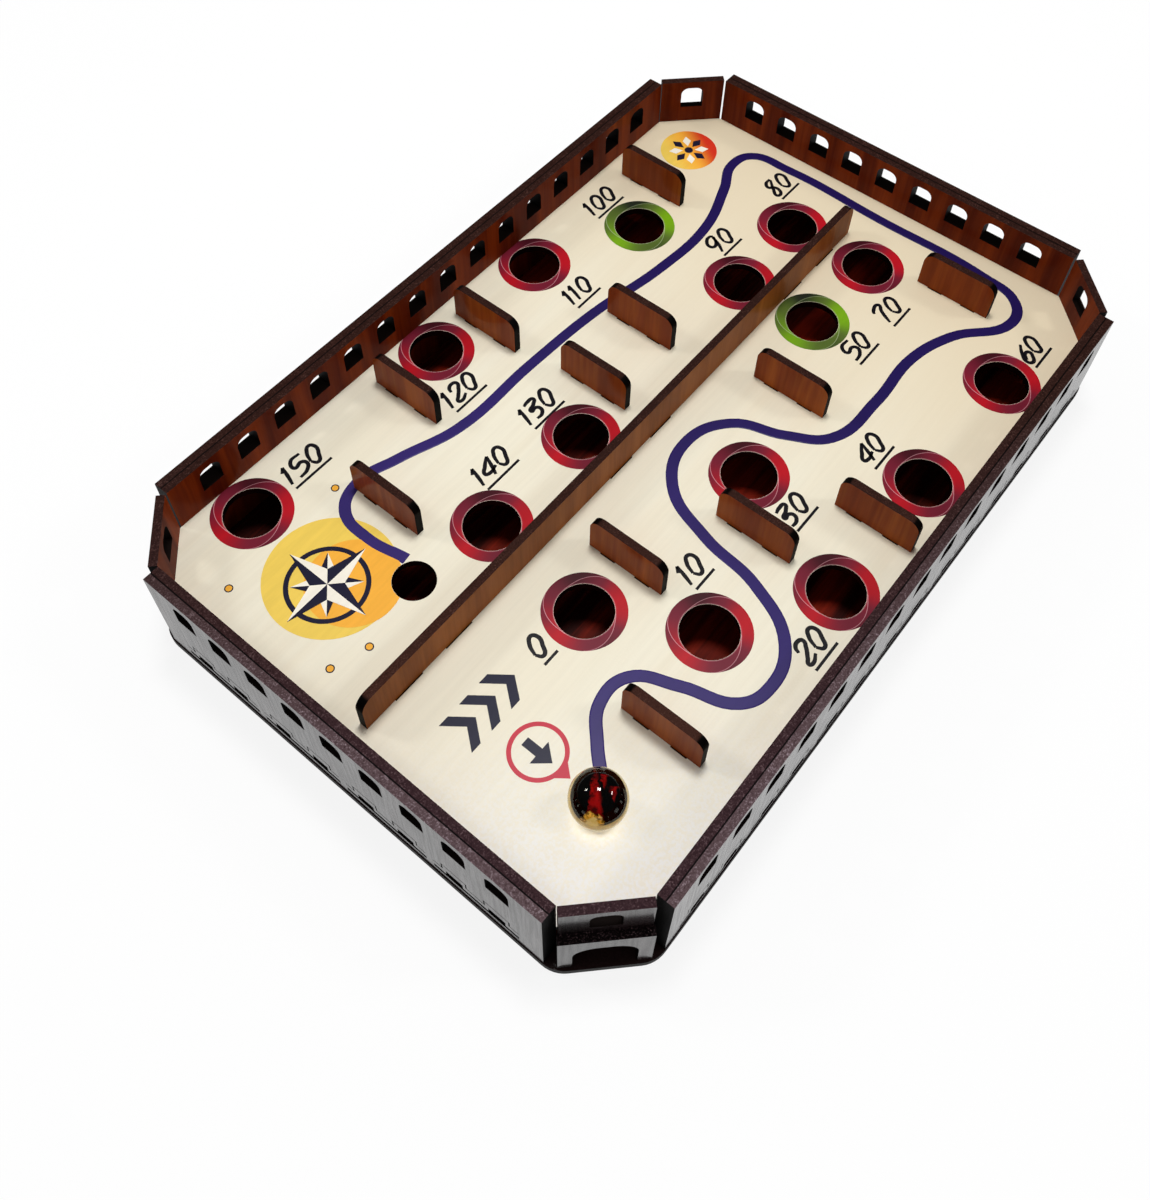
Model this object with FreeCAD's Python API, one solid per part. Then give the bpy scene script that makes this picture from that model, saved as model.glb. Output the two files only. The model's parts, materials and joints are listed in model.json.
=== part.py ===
import FreeCAD, Part
import math
import os

# Balance board maze game: an eight-sided tray of tabbed fibreboard sheets, with a play deck
# half way up, a divider, twelve barriers and one glass marble. Lengths are in millimetres.
# The origin is the middle of the underside. +X runs from the start end to the far end, +Y
# towards the left long wall and +Z up.

# Driving sizes of the box
SHEET = 2.8
BOX_LENGTH = 300.0
BOX_WIDTH = 200.0
WALL_TOP = 42.4
DECK_TOP = 23.0
CORNER_LEG = 17.7
LONG_WALL_END_GAP = 0.6
FAR_WALL_END_GAP = 0.7
NEAR_WALL_END_GAP = 0.3
SLOT_PLAY = 0.1
SLOT_FACE_PLAY = 0.4

# Base plate
BASE_MARGIN = 0.3
BASE_CORNER_MARGIN = 0.9
BASE_CORNER_RADIUS = 10.0
BASE_TAB = 11.0
LONG_WALL_BASE_TABS = (-92.5, 0.0, 92.5)
SHORT_WALL_BASE_TABS = (-43.0, 43.0)

# Wall windows
WINDOW_WIDTH = 8.2
WINDOW_SILL = 7.1
WINDOW_HEIGHT = 9.3
WINDOW_RADIUS = 3.0
LONG_WINDOW_PITCH = 15.78
LONG_WINDOWS = 15
SHORT_WINDOW_PITCH = 15.24
SHORT_WINDOWS = 9
CORNER_WINDOW_WIDTH = 8.8

# Battlement band along the foot of the outer wall layers
BAND_UNIT = 31.7
BAND_PITCH = 34.6
LONG_BAND_UNITS = 7
SHORT_BAND_UNITS = 4
MERLON_OFFSET = 7.9
CUT_FOOT = 5.7
CUT_SHOULDER = 7.6
CUT_TOP = 10.2
CUT_MERLON = 6.3
GROOVE_SHOULDER = 10.7
GROOVE_TOP = 14.1
GROOVE_MERLON = 9.6
GROOVE_WIDTH = 0.5
GROOVE_DEPTH = 1.2

# Deck edge tabs
LONG_WALL_TAB = 11.0
LONG_WALL_TAB_X = 92.5
SHORT_WALL_TAB = 5.5
SHORT_WALL_TAB_Y = 43.0
CORNER_TAB = 8.4

# Corner skirts and the marble exit
SKIRT_TOP = 26.4
SKIRT_LENGTH = 26.0
ARCH_WIDTH = 18.0
ARCH_RADIUS = 7.0

# Holes in the deck: centre along X and Y
SCORING_HOLE_RADIUS = 9.5
SCORING_HOLES = (
    (-67.6, -23.6), (-48.9, -57.4), (-12.6, -79.7), (6.0, -33.9),
    (40.3, -80.0), (75.8, -13.3), (94.4, -79.9), (111.8, -14.6),
    (111.2, 18.8), (74.5, 17.8), (74.0, 64.2), (32.8, 82.0),
    (-21.1, 81.6), (-17.2, 18.8), (-62.7, 18.6), (-108.3, 81.0),
)
FINISH_HOLE_RADIUS = 7.1
FINISH_HOLE = (-93.1, 23.8)

# Barriers: their face towards the start end, and the middle of their length
BARRIER_LENGTH = 28.4
BARRIER_HEIGHT = 15.0
BARRIER_RADIUS = 4.0
BARRIER_TAB = 5.6
BARRIER_TAB_OFFSET = 6.8
BARRIERS = (
    (-85.4, -66.0), (-48.3, -24.2), (-13.7, -48.7), (14.3, -76.1),
    (41.3, -25.6), (117.4, -46.8), (92.2, 72.9), (32.0, 32.4),
    (0.8, 28.4), (-4.0, 73.8), (-44.6, 73.8), (-80.5, 48.5),
)

# Divider between the two lanes
DIVIDER_START = -137.0
DIVIDER_END = 122.2
DIVIDER_FACE = 0.6
DIVIDER_HEIGHT = 15.0
DIVIDER_RADIUS = 4.5
DIVIDER_TAB = 11.3
DIVIDER_TABS = (-119.7, -98.0, -18.6, 3.0, 83.8, 105.5)

# Marble at the start
MARBLE_RADIUS = 8.5
MARBLE_X = -113.1
MARBLE_Y = -65.3
MARBLE_CLEARANCE = 0.1
SWIRL_POCKET_RADIUS = 6.0
SWIRL_HALF_HEIGHT = 5.6
SWIRL_RADIUS = 5.0

# Sizes that follow from the driving ones
BASE_TOP = SHEET
DECK_UNDERSIDE = DECK_TOP - SHEET
INNER_X = BOX_LENGTH / 2 - 2 * SHEET
INNER_Y = BOX_WIDTH / 2 - 2 * SHEET
CORNER_X = INNER_X - CORNER_LEG / 2
CORNER_Y = INNER_Y - CORNER_LEG / 2
CORNER_PANEL_LENGTH = CORNER_LEG * math.sqrt(2)
LONG_WALL_LENGTH = 2 * (INNER_X - CORNER_LEG - LONG_WALL_END_GAP)
FAR_WALL_LENGTH = 2 * (INNER_Y - CORNER_LEG - FAR_WALL_END_GAP)
NEAR_WALL_LENGTH = 2 * (INNER_Y - CORNER_LEG - NEAR_WALL_END_GAP)


def solid_from_outline(points, direction):
    """Extrude the closed outline through the points along the direction."""
    wire = Part.makePolygon(points + [points[0]])
    return Part.Face(wire).extrude(direction)


def block(x0, x1, y0, y1, z0, z1):
    """Upright block between the given corners."""
    return Part.makeBox(x1 - x0, y1 - y0, z1 - z0, FreeCAD.Vector(x0, y0, z0))


def octagon_sheet(half_x, half_y, leg, z0, z1):
    """Flat eight-sided sheet with its corners cut off by the given leg."""
    corners = []
    for sign_x, sign_y in ((1, 1), (-1, 1), (-1, -1), (1, -1)):
        on_end = FreeCAD.Vector(sign_x * half_x, sign_y * (half_y - leg), z0)
        on_side = FreeCAD.Vector(sign_x * (half_x - leg), sign_y * half_y, z0)
        if sign_x * sign_y > 0:
            corners += [on_end, on_side]
        else:
            corners += [on_side, on_end]
    return solid_from_outline(corners, FreeCAD.Vector(0, 0, z1 - z0))


def round_topped(centre, width, foot, top, radius, depth):
    """Plate on the XZ plane, square at the foot and rounded at its two top corners.

    It runs from y = 0 to y = depth.
    """
    left = centre - width / 2
    right = centre + width / 2
    diagonal = radius * math.sqrt(0.5)

    def point(x, z):
        return FreeCAD.Vector(x, 0, z)

    right_arc = Part.Arc(
        point(right, top - radius),
        point(right - radius + diagonal, top - radius + diagonal),
        point(right - radius, top),
    )
    left_arc = Part.Arc(
        point(left + radius, top),
        point(left + radius - diagonal, top - radius + diagonal),
        point(left, top - radius),
    )
    edges = [
        Part.makeLine(point(left, foot), point(right, foot)),
        Part.makeLine(point(right, foot), point(right, top - radius)),
        right_arc.toShape(),
        Part.makeLine(point(right - radius, top), point(left + radius, top)),
        left_arc.toShape(),
        Part.makeLine(point(left, top - radius), point(left, foot)),
    ]
    return Part.Face(Part.Wire(edges)).extrude(FreeCAD.Vector(0, depth, 0))


def battlement(centre, shoulder, top, merlon, depth_start, depth_end):
    """Strip with two raised merlons, as cut or grooved into the foot of a wall."""
    half = BAND_UNIT / 2
    solid = block(centre - half, centre + half, depth_start, depth_end, CUT_FOOT, shoulder)
    for side in (-1, 1):
        middle = centre + side * MERLON_OFFSET
        raised = block(
            middle - merlon / 2, middle + merlon / 2, depth_start, depth_end, CUT_FOOT, top
        )
        solid = solid.fuse(raised)
    return solid.removeSplitter()


def spaced(count, pitch):
    """Places of a centred row of things at an even pitch."""
    return [(index - (count - 1) / 2) * pitch for index in range(count)]


def stand(shape, outward_angle, foot_x, foot_y):
    """Turn a sheet modelled on the XZ plane so that +Y points outwards, and place it."""
    placed = shape.copy()
    placed.rotate(FreeCAD.Vector(0, 0, 0), FreeCAD.Vector(0, 0, 1), outward_angle - 90)
    placed.translate(FreeCAD.Vector(foot_x, foot_y, 0))
    return placed


def window_row(count, pitch):
    """Cutters for a row of windows through one wall layer."""
    sill = DECK_TOP + WINDOW_SILL
    cutters = []
    for place in spaced(count, pitch):
        cutters.append(round_topped(
            place, WINDOW_WIDTH, sill, sill + WINDOW_HEIGHT, WINDOW_RADIUS, SHEET
        ))
    return cutters


def inner_layer(length, windows, deck_tabs, deck_tab_length, base_tabs):
    """Inner wall layer: windows, slots for the deck's tabs, and tabs into the base plate."""
    half = length / 2
    sheet = block(-half, half, 0, SHEET, BASE_TOP, WALL_TOP)
    for place in base_tabs:
        half_tab = BASE_TAB / 2
        tab = block(place - half_tab, place + half_tab, 0, SHEET, 0, BASE_TOP)
        sheet = sheet.fuse(tab)
    cutters = list(windows)
    for place in deck_tabs:
        half_slot = deck_tab_length / 2 + SLOT_PLAY
        cutters.append(block(
            place - half_slot, place + half_slot, 0, SHEET, DECK_UNDERSIDE, DECK_TOP + SLOT_PLAY
        ))
    return sheet.cut(cutters).removeSplitter()


def outer_layer(length, windows, band_units):
    """Outer wall layer: windows, and the battlement band cut and grooved along its foot."""
    half = length / 2
    sheet = block(-half, half, 0, SHEET, BASE_TOP, WALL_TOP)
    groove_start = SHEET - GROOVE_DEPTH
    cutters = list(windows)
    for place in spaced(band_units, BAND_PITCH):
        cutters.append(battlement(place, CUT_SHOULDER, CUT_TOP, CUT_MERLON, 0, SHEET))
        groove = battlement(
            place, GROOVE_SHOULDER, GROOVE_TOP, GROOVE_MERLON, groove_start, SHEET
        )
        inside_groove = battlement(
            place, GROOVE_SHOULDER - GROOVE_WIDTH, GROOVE_TOP - GROOVE_WIDTH,
            GROOVE_MERLON - 2 * GROOVE_WIDTH, groove_start, SHEET
        )
        cutters.append(groove.cut(inside_groove))
    return sheet.cut(cutters).removeSplitter()


def walls():
    """The four two-layer walls, by node name."""
    long_windows = window_row(LONG_WINDOWS, LONG_WINDOW_PITCH)
    long_inner = inner_layer(
        LONG_WALL_LENGTH, long_windows, (-LONG_WALL_TAB_X, LONG_WALL_TAB_X),
        LONG_WALL_TAB, LONG_WALL_BASE_TABS
    )
    long_outer = outer_layer(LONG_WALL_LENGTH, long_windows, LONG_BAND_UNITS)
    pieces = {
        "long_wall_left_inner": stand(long_inner, 90, 0, INNER_Y),
        "long_wall_left_outer": stand(long_outer, 90, 0, INNER_Y + SHEET),
        "long_wall_right_inner": stand(long_inner, 270, 0, -INNER_Y),
        "long_wall_right_outer": stand(long_outer, 270, 0, -INNER_Y - SHEET),
    }
    short_windows = window_row(SHORT_WINDOWS, SHORT_WINDOW_PITCH)
    ends = (("far", 1, 0, FAR_WALL_LENGTH), ("near", -1, 180, NEAR_WALL_LENGTH))
    for end, sign, angle, length in ends:
        short_inner = inner_layer(
            length, short_windows, (-SHORT_WALL_TAB_Y, SHORT_WALL_TAB_Y),
            SHORT_WALL_TAB, SHORT_WALL_BASE_TABS
        )
        short_outer = outer_layer(length, short_windows, SHORT_BAND_UNITS)
        pieces[f"short_wall_{end}_inner"] = stand(short_inner, angle, sign * INNER_X, 0)
        pieces[f"short_wall_{end}_outer"] = stand(
            short_outer, angle, sign * (INNER_X + SHEET), 0
        )
    return pieces


def exit_arch():
    """Cutter for the arch that the marble rolls out through."""
    return round_topped(0, ARCH_WIDTH, BASE_TOP, DECK_UNDERSIDE, ARCH_RADIUS, SHEET)


def corner_panel(is_exit):
    """Full-height panel across a cut corner, with one window."""
    half = CORNER_PANEL_LENGTH / 2
    sheet = block(-half, half, 0, SHEET, BASE_TOP, WALL_TOP)
    sill = DECK_TOP + WINDOW_SILL
    cutters = [round_topped(
        0, CORNER_WINDOW_WIDTH, sill, sill + WINDOW_HEIGHT, WINDOW_RADIUS, SHEET
    )]
    if is_exit:
        cutters.append(exit_arch())
    else:
        half_slot = CORNER_TAB / 2 + SLOT_PLAY
        cutters.append(block(
            -half_slot, half_slot, 0, SHEET, DECK_UNDERSIDE, DECK_TOP + SLOT_PLAY
        ))
    return sheet.cut(cutters).removeSplitter()


def corner_skirt(is_exit):
    """Low panel against the outside of a corner panel."""
    half = SKIRT_LENGTH / 2
    sheet = block(-half, half, 0, SHEET, BASE_TOP, SKIRT_TOP)
    if is_exit:
        sheet = sheet.cut(exit_arch()).removeSplitter()
    return sheet


def corners():
    """Panels and skirts at the four cut corners, by node name."""
    pieces = {}
    places = (
        ("far_left", 1, 1, 45),
        ("finish", -1, 1, 135),
        ("start", -1, -1, 225),
        ("far_right", 1, -1, 315),
    )
    for name, sign_x, sign_y, angle in places:
        is_exit = name == "start"
        foot_x = sign_x * CORNER_X
        foot_y = sign_y * CORNER_Y
        step = SHEET / math.sqrt(2)
        pieces["corner_panel_" + name] = stand(corner_panel(is_exit), angle, foot_x, foot_y)
        pieces["corner_skirt_" + name] = stand(
            corner_skirt(is_exit), angle, foot_x + sign_x * step, foot_y + sign_y * step
        )
    return pieces


def base_plate():
    """Bottom sheet with rounded corners, and slots for the tabs of the inner wall layers."""
    proud = 2 * SHEET + BASE_MARGIN
    corner_proud = 2 * SHEET + BASE_CORNER_MARGIN
    half_x = INNER_X + proud
    half_y = INNER_Y + proud
    leg = CORNER_LEG + 2 * proud - corner_proud * math.sqrt(2)
    plate = octagon_sheet(half_x, half_y, leg, 0, BASE_TOP)
    upright = [
        edge for edge in plate.Edges
        if abs(edge.Vertexes[0].X - edge.Vertexes[1].X) < 1e-6
        and abs(edge.Vertexes[0].Y - edge.Vertexes[1].Y) < 1e-6
    ]
    plate = plate.makeFillet(BASE_CORNER_RADIUS, upright)
    half_slot = BASE_TAB / 2 + SLOT_PLAY
    slots = []
    for place in LONG_WALL_BASE_TABS:
        slot = block(
            place - half_slot, place + half_slot, -SLOT_PLAY, SHEET + SLOT_PLAY, 0, BASE_TOP
        )
        slots += [stand(slot, 90, 0, INNER_Y), stand(slot, 270, 0, -INNER_Y)]
    for place in SHORT_WALL_BASE_TABS:
        slot = block(
            place - half_slot, place + half_slot, -SLOT_PLAY, SHEET + SLOT_PLAY, 0, BASE_TOP
        )
        slots += [stand(slot, 0, INNER_X, 0), stand(slot, 180, -INNER_X, 0)]
    return plate.cut(slots)


def deck_tab(length):
    """Edge tab of the deck, reaching through one sheet."""
    return block(-length / 2, length / 2, 0, SHEET, DECK_UNDERSIDE, DECK_TOP)


def deck_slot(x0, x1, y0, y1, play_x, play_y):
    """Cutter for a slot in the deck around a tab, with its play on each side along X and Y."""
    return block(x0 - play_x, x1 + play_x, y0 - play_y, y1 + play_y, DECK_UNDERSIDE, DECK_TOP)


def play_deck():
    """Printed deck with its holes, its slots and its edge tabs."""
    deck = octagon_sheet(INNER_X, INNER_Y, CORNER_LEG, DECK_UNDERSIDE, DECK_TOP)
    tabs = []
    long_tab = deck_tab(LONG_WALL_TAB)
    short_tab = deck_tab(SHORT_WALL_TAB)
    for side in (-1, 1):
        for angle in (90, 270):
            foot_y = INNER_Y if angle == 90 else -INNER_Y
            tabs.append(stand(long_tab, angle, side * LONG_WALL_TAB_X, foot_y))
        for angle in (0, 180):
            foot_x = INNER_X if angle == 0 else -INNER_X
            tabs.append(stand(short_tab, angle, foot_x, side * SHORT_WALL_TAB_Y))
    corner_tab = deck_tab(CORNER_TAB)
    tabs.append(stand(corner_tab, 45, CORNER_X, CORNER_Y))
    tabs.append(stand(corner_tab, 135, -CORNER_X, CORNER_Y))
    tabs.append(stand(corner_tab, 315, CORNER_X, -CORNER_Y))
    deck = deck.fuse(tabs)

    cutters = []
    for x, y in SCORING_HOLES:
        cutters.append(Part.makeCylinder(
            SCORING_HOLE_RADIUS, SHEET, FreeCAD.Vector(x, y, DECK_UNDERSIDE)
        ))
    cutters.append(Part.makeCylinder(
        FINISH_HOLE_RADIUS, SHEET, FreeCAD.Vector(FINISH_HOLE[0], FINISH_HOLE[1], DECK_UNDERSIDE)
    ))
    for face_x, middle_y in BARRIERS:
        for side in (-1, 1):
            tab_y = middle_y + side * BARRIER_TAB_OFFSET
            cutters.append(deck_slot(
                face_x, face_x + SHEET, tab_y - BARRIER_TAB / 2, tab_y + BARRIER_TAB / 2,
                SLOT_FACE_PLAY, SLOT_PLAY
            ))
    for tab_x in DIVIDER_TABS:
        cutters.append(deck_slot(
            tab_x - DIVIDER_TAB / 2, tab_x + DIVIDER_TAB / 2, DIVIDER_FACE, DIVIDER_FACE + SHEET,
            SLOT_PLAY, SLOT_FACE_PLAY
        ))
    return deck.cut(cutters).removeSplitter()


def upright_strip(length, height, radius, tabs, tab_length):
    """Strip that stands on the deck, with tabs that reach through it."""
    strip = round_topped(0, length, DECK_TOP, DECK_TOP + height, radius, SHEET)
    for place in tabs:
        half_tab = tab_length / 2
        strip = strip.fuse(block(
            place - half_tab, place + half_tab, 0, SHEET, DECK_UNDERSIDE, DECK_TOP
        ))
    return strip.removeSplitter()


def center_divider():
    """Long strip between the two lanes."""
    middle = (DIVIDER_START + DIVIDER_END) / 2
    tabs = [place - middle for place in DIVIDER_TABS]
    strip = upright_strip(
        DIVIDER_END - DIVIDER_START, DIVIDER_HEIGHT, DIVIDER_RADIUS, tabs, DIVIDER_TAB
    )
    return stand(strip, 90, middle, DIVIDER_FACE)


def barriers():
    """Twelve short plates across the lanes, numbered from the start round to the finish."""
    tabs = (-BARRIER_TAB_OFFSET, BARRIER_TAB_OFFSET)
    plate = upright_strip(BARRIER_LENGTH, BARRIER_HEIGHT, BARRIER_RADIUS, tabs, BARRIER_TAB)
    pieces = {}
    for number, (face_x, middle_y) in enumerate(BARRIERS, start=1):
        pieces[f"barrier_{number:02d}"] = stand(plate, 0, face_x, middle_y)
    return pieces


def marble():
    """Glass marble on the start, and the swirl in its pocket."""
    centre = FreeCAD.Vector(MARBLE_X, MARBLE_Y, DECK_TOP + MARBLE_CLEARANCE + MARBLE_RADIUS)
    glass = Part.makeSphere(MARBLE_RADIUS).cut(Part.makeSphere(SWIRL_POCKET_RADIUS))
    glass.translate(centre)

    outline = Part.Ellipse(
        FreeCAD.Vector(0, 0, SWIRL_HALF_HEIGHT), FreeCAD.Vector(SWIRL_RADIUS, 0, 0),
        FreeCAD.Vector(0, 0, 0)
    )
    half_outline = Part.ArcOfEllipse(outline, -math.pi, 0).toShape()
    ends = [vertex.Point for vertex in half_outline.Vertexes]
    face = Part.Face(Part.Wire([half_outline, Part.makeLine(ends[1], ends[0])]))
    swirl = face.revolve(FreeCAD.Vector(0, 0, 0), FreeCAD.Vector(0, 0, 1), 360)
    swirl.translate(centre)
    return {"marble_glass": glass, "marble_swirl": swirl}


def all_pieces():
    """Every piece of the game, by node name."""
    pieces = {
        "base_plate": base_plate(),
        "play_deck": play_deck(),
        "center_divider": center_divider(),
    }
    pieces.update(walls())
    pieces.update(corners())
    pieces.update(barriers())
    pieces.update(marble())
    return pieces


def main():
    os.makedirs("parts", exist_ok=True)
    for name, shape in all_pieces().items():
        solid = shape.Solids[0]
        if len(shape.Solids) != 1 or not solid.isValid() or solid.Volume <= 0:
            raise ValueError(f"{name} isn't one sound solid")
        solid.exportStep(f"parts/{name}.step")
        box = solid.BoundBox
        print(f"{name}: {box.XLength:.1f} x {box.YLength:.1f} x {box.ZLength:.1f} mm, "
              f"{solid.Volume:.0f} mm3")


main()
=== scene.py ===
import json
import math
from collections import namedtuple

import bmesh
import bpy
from mathutils import Matrix, Vector


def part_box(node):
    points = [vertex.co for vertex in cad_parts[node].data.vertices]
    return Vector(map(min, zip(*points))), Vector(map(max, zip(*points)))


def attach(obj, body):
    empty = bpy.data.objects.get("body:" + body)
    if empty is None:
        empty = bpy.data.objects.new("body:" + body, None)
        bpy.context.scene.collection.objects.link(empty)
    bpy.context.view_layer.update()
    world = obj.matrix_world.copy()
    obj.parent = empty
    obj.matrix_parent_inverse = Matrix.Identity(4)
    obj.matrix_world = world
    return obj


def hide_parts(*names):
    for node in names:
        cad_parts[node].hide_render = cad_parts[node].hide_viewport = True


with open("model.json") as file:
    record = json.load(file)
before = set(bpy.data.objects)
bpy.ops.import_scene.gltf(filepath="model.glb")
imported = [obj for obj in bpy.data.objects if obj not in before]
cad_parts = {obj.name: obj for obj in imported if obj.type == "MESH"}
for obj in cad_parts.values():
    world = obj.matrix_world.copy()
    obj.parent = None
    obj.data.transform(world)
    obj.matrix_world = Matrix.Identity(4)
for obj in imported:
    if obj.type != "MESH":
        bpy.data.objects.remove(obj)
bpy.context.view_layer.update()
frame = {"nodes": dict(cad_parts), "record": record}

bl_info = {
    "name": "Tilt Maze Dressing",
    "version": (1, 0, 0),
    "blender": (4, 5, 0),
    "location": "View3D > Sidebar > Tilt Maze",
    "description": "Varnish, deck prints, glass marble and studio for a laser-cut tilt maze",
    "category": "Object",
}

MM = 0.001
UP = Vector((0.0, 0.0, 1.0))
ALONG = Vector((1.0, 0.0, 0.0))
ACROSS = Vector((0.0, 1.0, 0.0))
# Part of a distance towards a corner that lies along each side
CORNER_SHARE = math.sqrt(0.5)
TO_START_CORNER = (ALONG + ACROSS) * -CORNER_SHARE

# Places read from the frame
DECK_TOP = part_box("play_deck")[1].z
FIELD_HALF_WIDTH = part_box("long_wall_left_inner")[0].y
FIELD_HALF_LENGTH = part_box("short_wall_far_inner")[0].x
PANEL_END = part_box("corner_panel_far_left")[0].x
FIELD_HALF_DIAGONAL = (PANEL_END + FIELD_HALF_WIDTH) * CORNER_SHARE
GLASS_LOW, GLASS_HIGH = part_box("marble_glass")
MARBLE_CENTRE = (GLASS_LOW + GLASS_HIGH) / 2
MARBLE_RADIUS = (GLASS_HIGH.x - GLASS_LOW.x) / 2
OPENINGS = {
    opening["name"]: opening["box_m"]
    for opening in frame["record"]["physics"]["openings"]
}

SCORE_STEP = 10
GREEN_SCORES = (50, 100)

# Left end and foot of each number, in millimetres from the middle of its hole
NUMBER_OFFSETS = {
    0: (-21.5, -0.6), 10: (9.2, 13.3), 20: (-26.5, -8.1), 30: (-8.0, -22.8),
    40: (-5.6, 16.7), 50: (-6.1, -22.5), 60: (13.9, -4.5), 70: (-19.0, -21.2),
    80: (10.2, 13.0), 90: (7.5, 13.9), 100: (-7.0, 16.1), 110: (-6.2, -24.6),
    120: (-15.3, -22.2), 130: (-7.6, 15.4), 140: (9.4, 11.6), 150: (15.5, -2.4),
}

# Brush strokes of each figure, in millimetres from its own left foot
FIGURE_STROKES = {
    "0": [[(0.6, 2.6), (2.2, 0.55), (4.5, 2.9), (5.8, 6.0), (4.5, 7.8), (2.2, 6.2), (0.6, 2.6)]],
    "1": [[(1.0, 6.2), (2.7, 8.0)], [(2.7, 8.0), (1.7, 4.4), (0.4, 0.5)]],
    "2": [[(1.6, 5.6), (2.4, 7.3), (4.4, 8.0), (5.8, 7.1), (4.4, 4.8), (1.9, 2.6), (0.4, 1.1),
           (1.4, 0.4), (4.7, 1.6)]],
    "3": [[(1.3, 7.5), (3.5, 7.9), (5.9, 7.3), (4.2, 5.7), (1.4, 4.3), (3.6, 4.2), (4.5, 2.6),
           (3.0, 0.8), (0.5, 0.7)]],
    "4": [[(6.1, 7.6), (2.8, 5.3), (0.6, 3.1), (1.8, 2.3), (5.6, 2.9)],
          [(6.1, 7.6), (4.5, 3.8), (2.9, 0.5)]],
    "5": [[(6.8, 7.9), (2.6, 7.6), (1.8, 4.7), (4.9, 4.9), (6.0, 3.3), (4.1, 1.1), (0.6, 0.5)]],
    "6": [[(6.0, 7.7), (2.8, 5.3), (0.5, 2.3), (1.5, 0.4), (3.8, 1.5), (4.9, 3.8), (3.5, 4.4),
           (1.3, 2.5)]],
    "7": [[(0.5, 7.0), (1.5, 8.0), (5.2, 8.2), (3.5, 5.9), (2.0, 3.3), (0.8, 0.5)]],
    "8": [[(6.1, 8.5), (3.1, 8.2), (1.9, 6.2), (3.4, 4.7), (3.6, 2.4), (1.6, 0.4), (0.4, 1.2),
           (2.1, 3.9), (5.9, 8.0)]],
    "9": [[(5.3, 8.3), (2.8, 8.3), (0.4, 5.6), (1.3, 4.0), (3.3, 4.5), (5.4, 7.3)],
          [(5.4, 8.3), (3.5, 3.5), (1.3, 0.1)]],
}
FIGURE_ADVANCES = {
    "0": 6.1, "1": 3.4, "2": 5.8, "3": 6.0, "4": 6.0,
    "5": 6.5, "6": 5.7, "7": 5.1, "8": 5.6, "9": 5.4,
}

# Middle of the printed track, in millimetres, from the start to the finish hole
TRACK_POINTS = (
    (-107.5, -63.0), (-98.0, -53.0), (-88.0, -46.0), (-76.7, -47.2), (-68.9, -61.1),
    (-62.2, -77.8), (-53.5, -81.8), (-38.0, -77.6), (-26.8, -59.0), (-22.6, -36.7),
    (-13.3, -16.7), (4.2, -9.9), (19.5, -17.0), (27.2, -34.2), (36.5, -47.0),
    (59.4, -50.3), (83.9, -50.0), (101.7, -55.8), (121.5, -69.4), (131.5, -65.5),
    (135.4, -50.0), (136.1, -5.6), (136.7, 38.0), (134.0, 53.5), (125.0, 56.6),
    (111.7, 51.1), (89.4, 44.2), (61.7, 44.7), (28.3, 50.0), (-5.0, 52.0),
    (-41.1, 52.8), (-63.3, 59.8), (-78.5, 63.4), (-88.8, 58.6), (-91.4, 46.5),
    (-89.0, 31.0),
)


def screen_colour(red, green, blue):
    """Linear colour for a property or a socket, from an 8-bit screen colour."""
    linear = []
    for level in (red, green, blue):
        share = level / 255
        if share <= 0.04045:
            linear.append(share / 12.92)
        else:
            linear.append(((share + 0.055) / 1.055) ** 2.4)
    return tuple(linear)


def colour_property(name, description, *level):
    """Colour property with its default given as an 8-bit screen colour."""
    return bpy.props.FloatVectorProperty(
        name=name, description=description, subtype="COLOR", size=3, min=0.0, max=1.0,
        default=screen_colour(*level),
    )


def number_property(name, description, default, **settings):
    """Number property with the given unit, subtype or limits."""
    return bpy.props.FloatProperty(
        name=name, description=description, default=default, **settings
    )


def length_property(name, description, default):
    """Length property, in metres."""
    return number_property(name, description, default, unit="LENGTH", min=0.0, precision=5)


class MazePrintSizes(bpy.types.PropertyGroup):
    """Sizes of what is printed on the deck."""

    ink_height: length_property("Ink height", "Height of a print above the deck", 0.00004)
    ring_inside: length_property("Ring inside", "Inner radius of a score ring", 0.00955)
    ring_outside: length_property("Ring outside", "Outer radius of a score ring", 0.0135)
    ring_line: length_property("Ring line", "Width of the pale lines in a ring", 0.00022)
    track_width: length_property("Track width", "Width of the line from start to finish", 0.004)
    figure_stroke: length_property("Figure stroke", "Width of a figure's brush stroke", 0.0014)
    underline_drop: length_property("Underline drop", "Underline below a number's foot", 0.0016)
    underline_stroke: length_property("Underline stroke", "Width of an underline", 0.00095)
    pin_radius: length_property("Pin radius", "Outer radius of the start pin", 0.0091)
    pin_band: length_property("Pin band", "Width of the start pin's ring", 0.0014)
    finish_disc: length_property("Finish disc", "Radius of the disc beside the finish", 0.0216)
    turn_disc: length_property("Turn disc", "Radius of the disc in the far corner", 0.0113)


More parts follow.
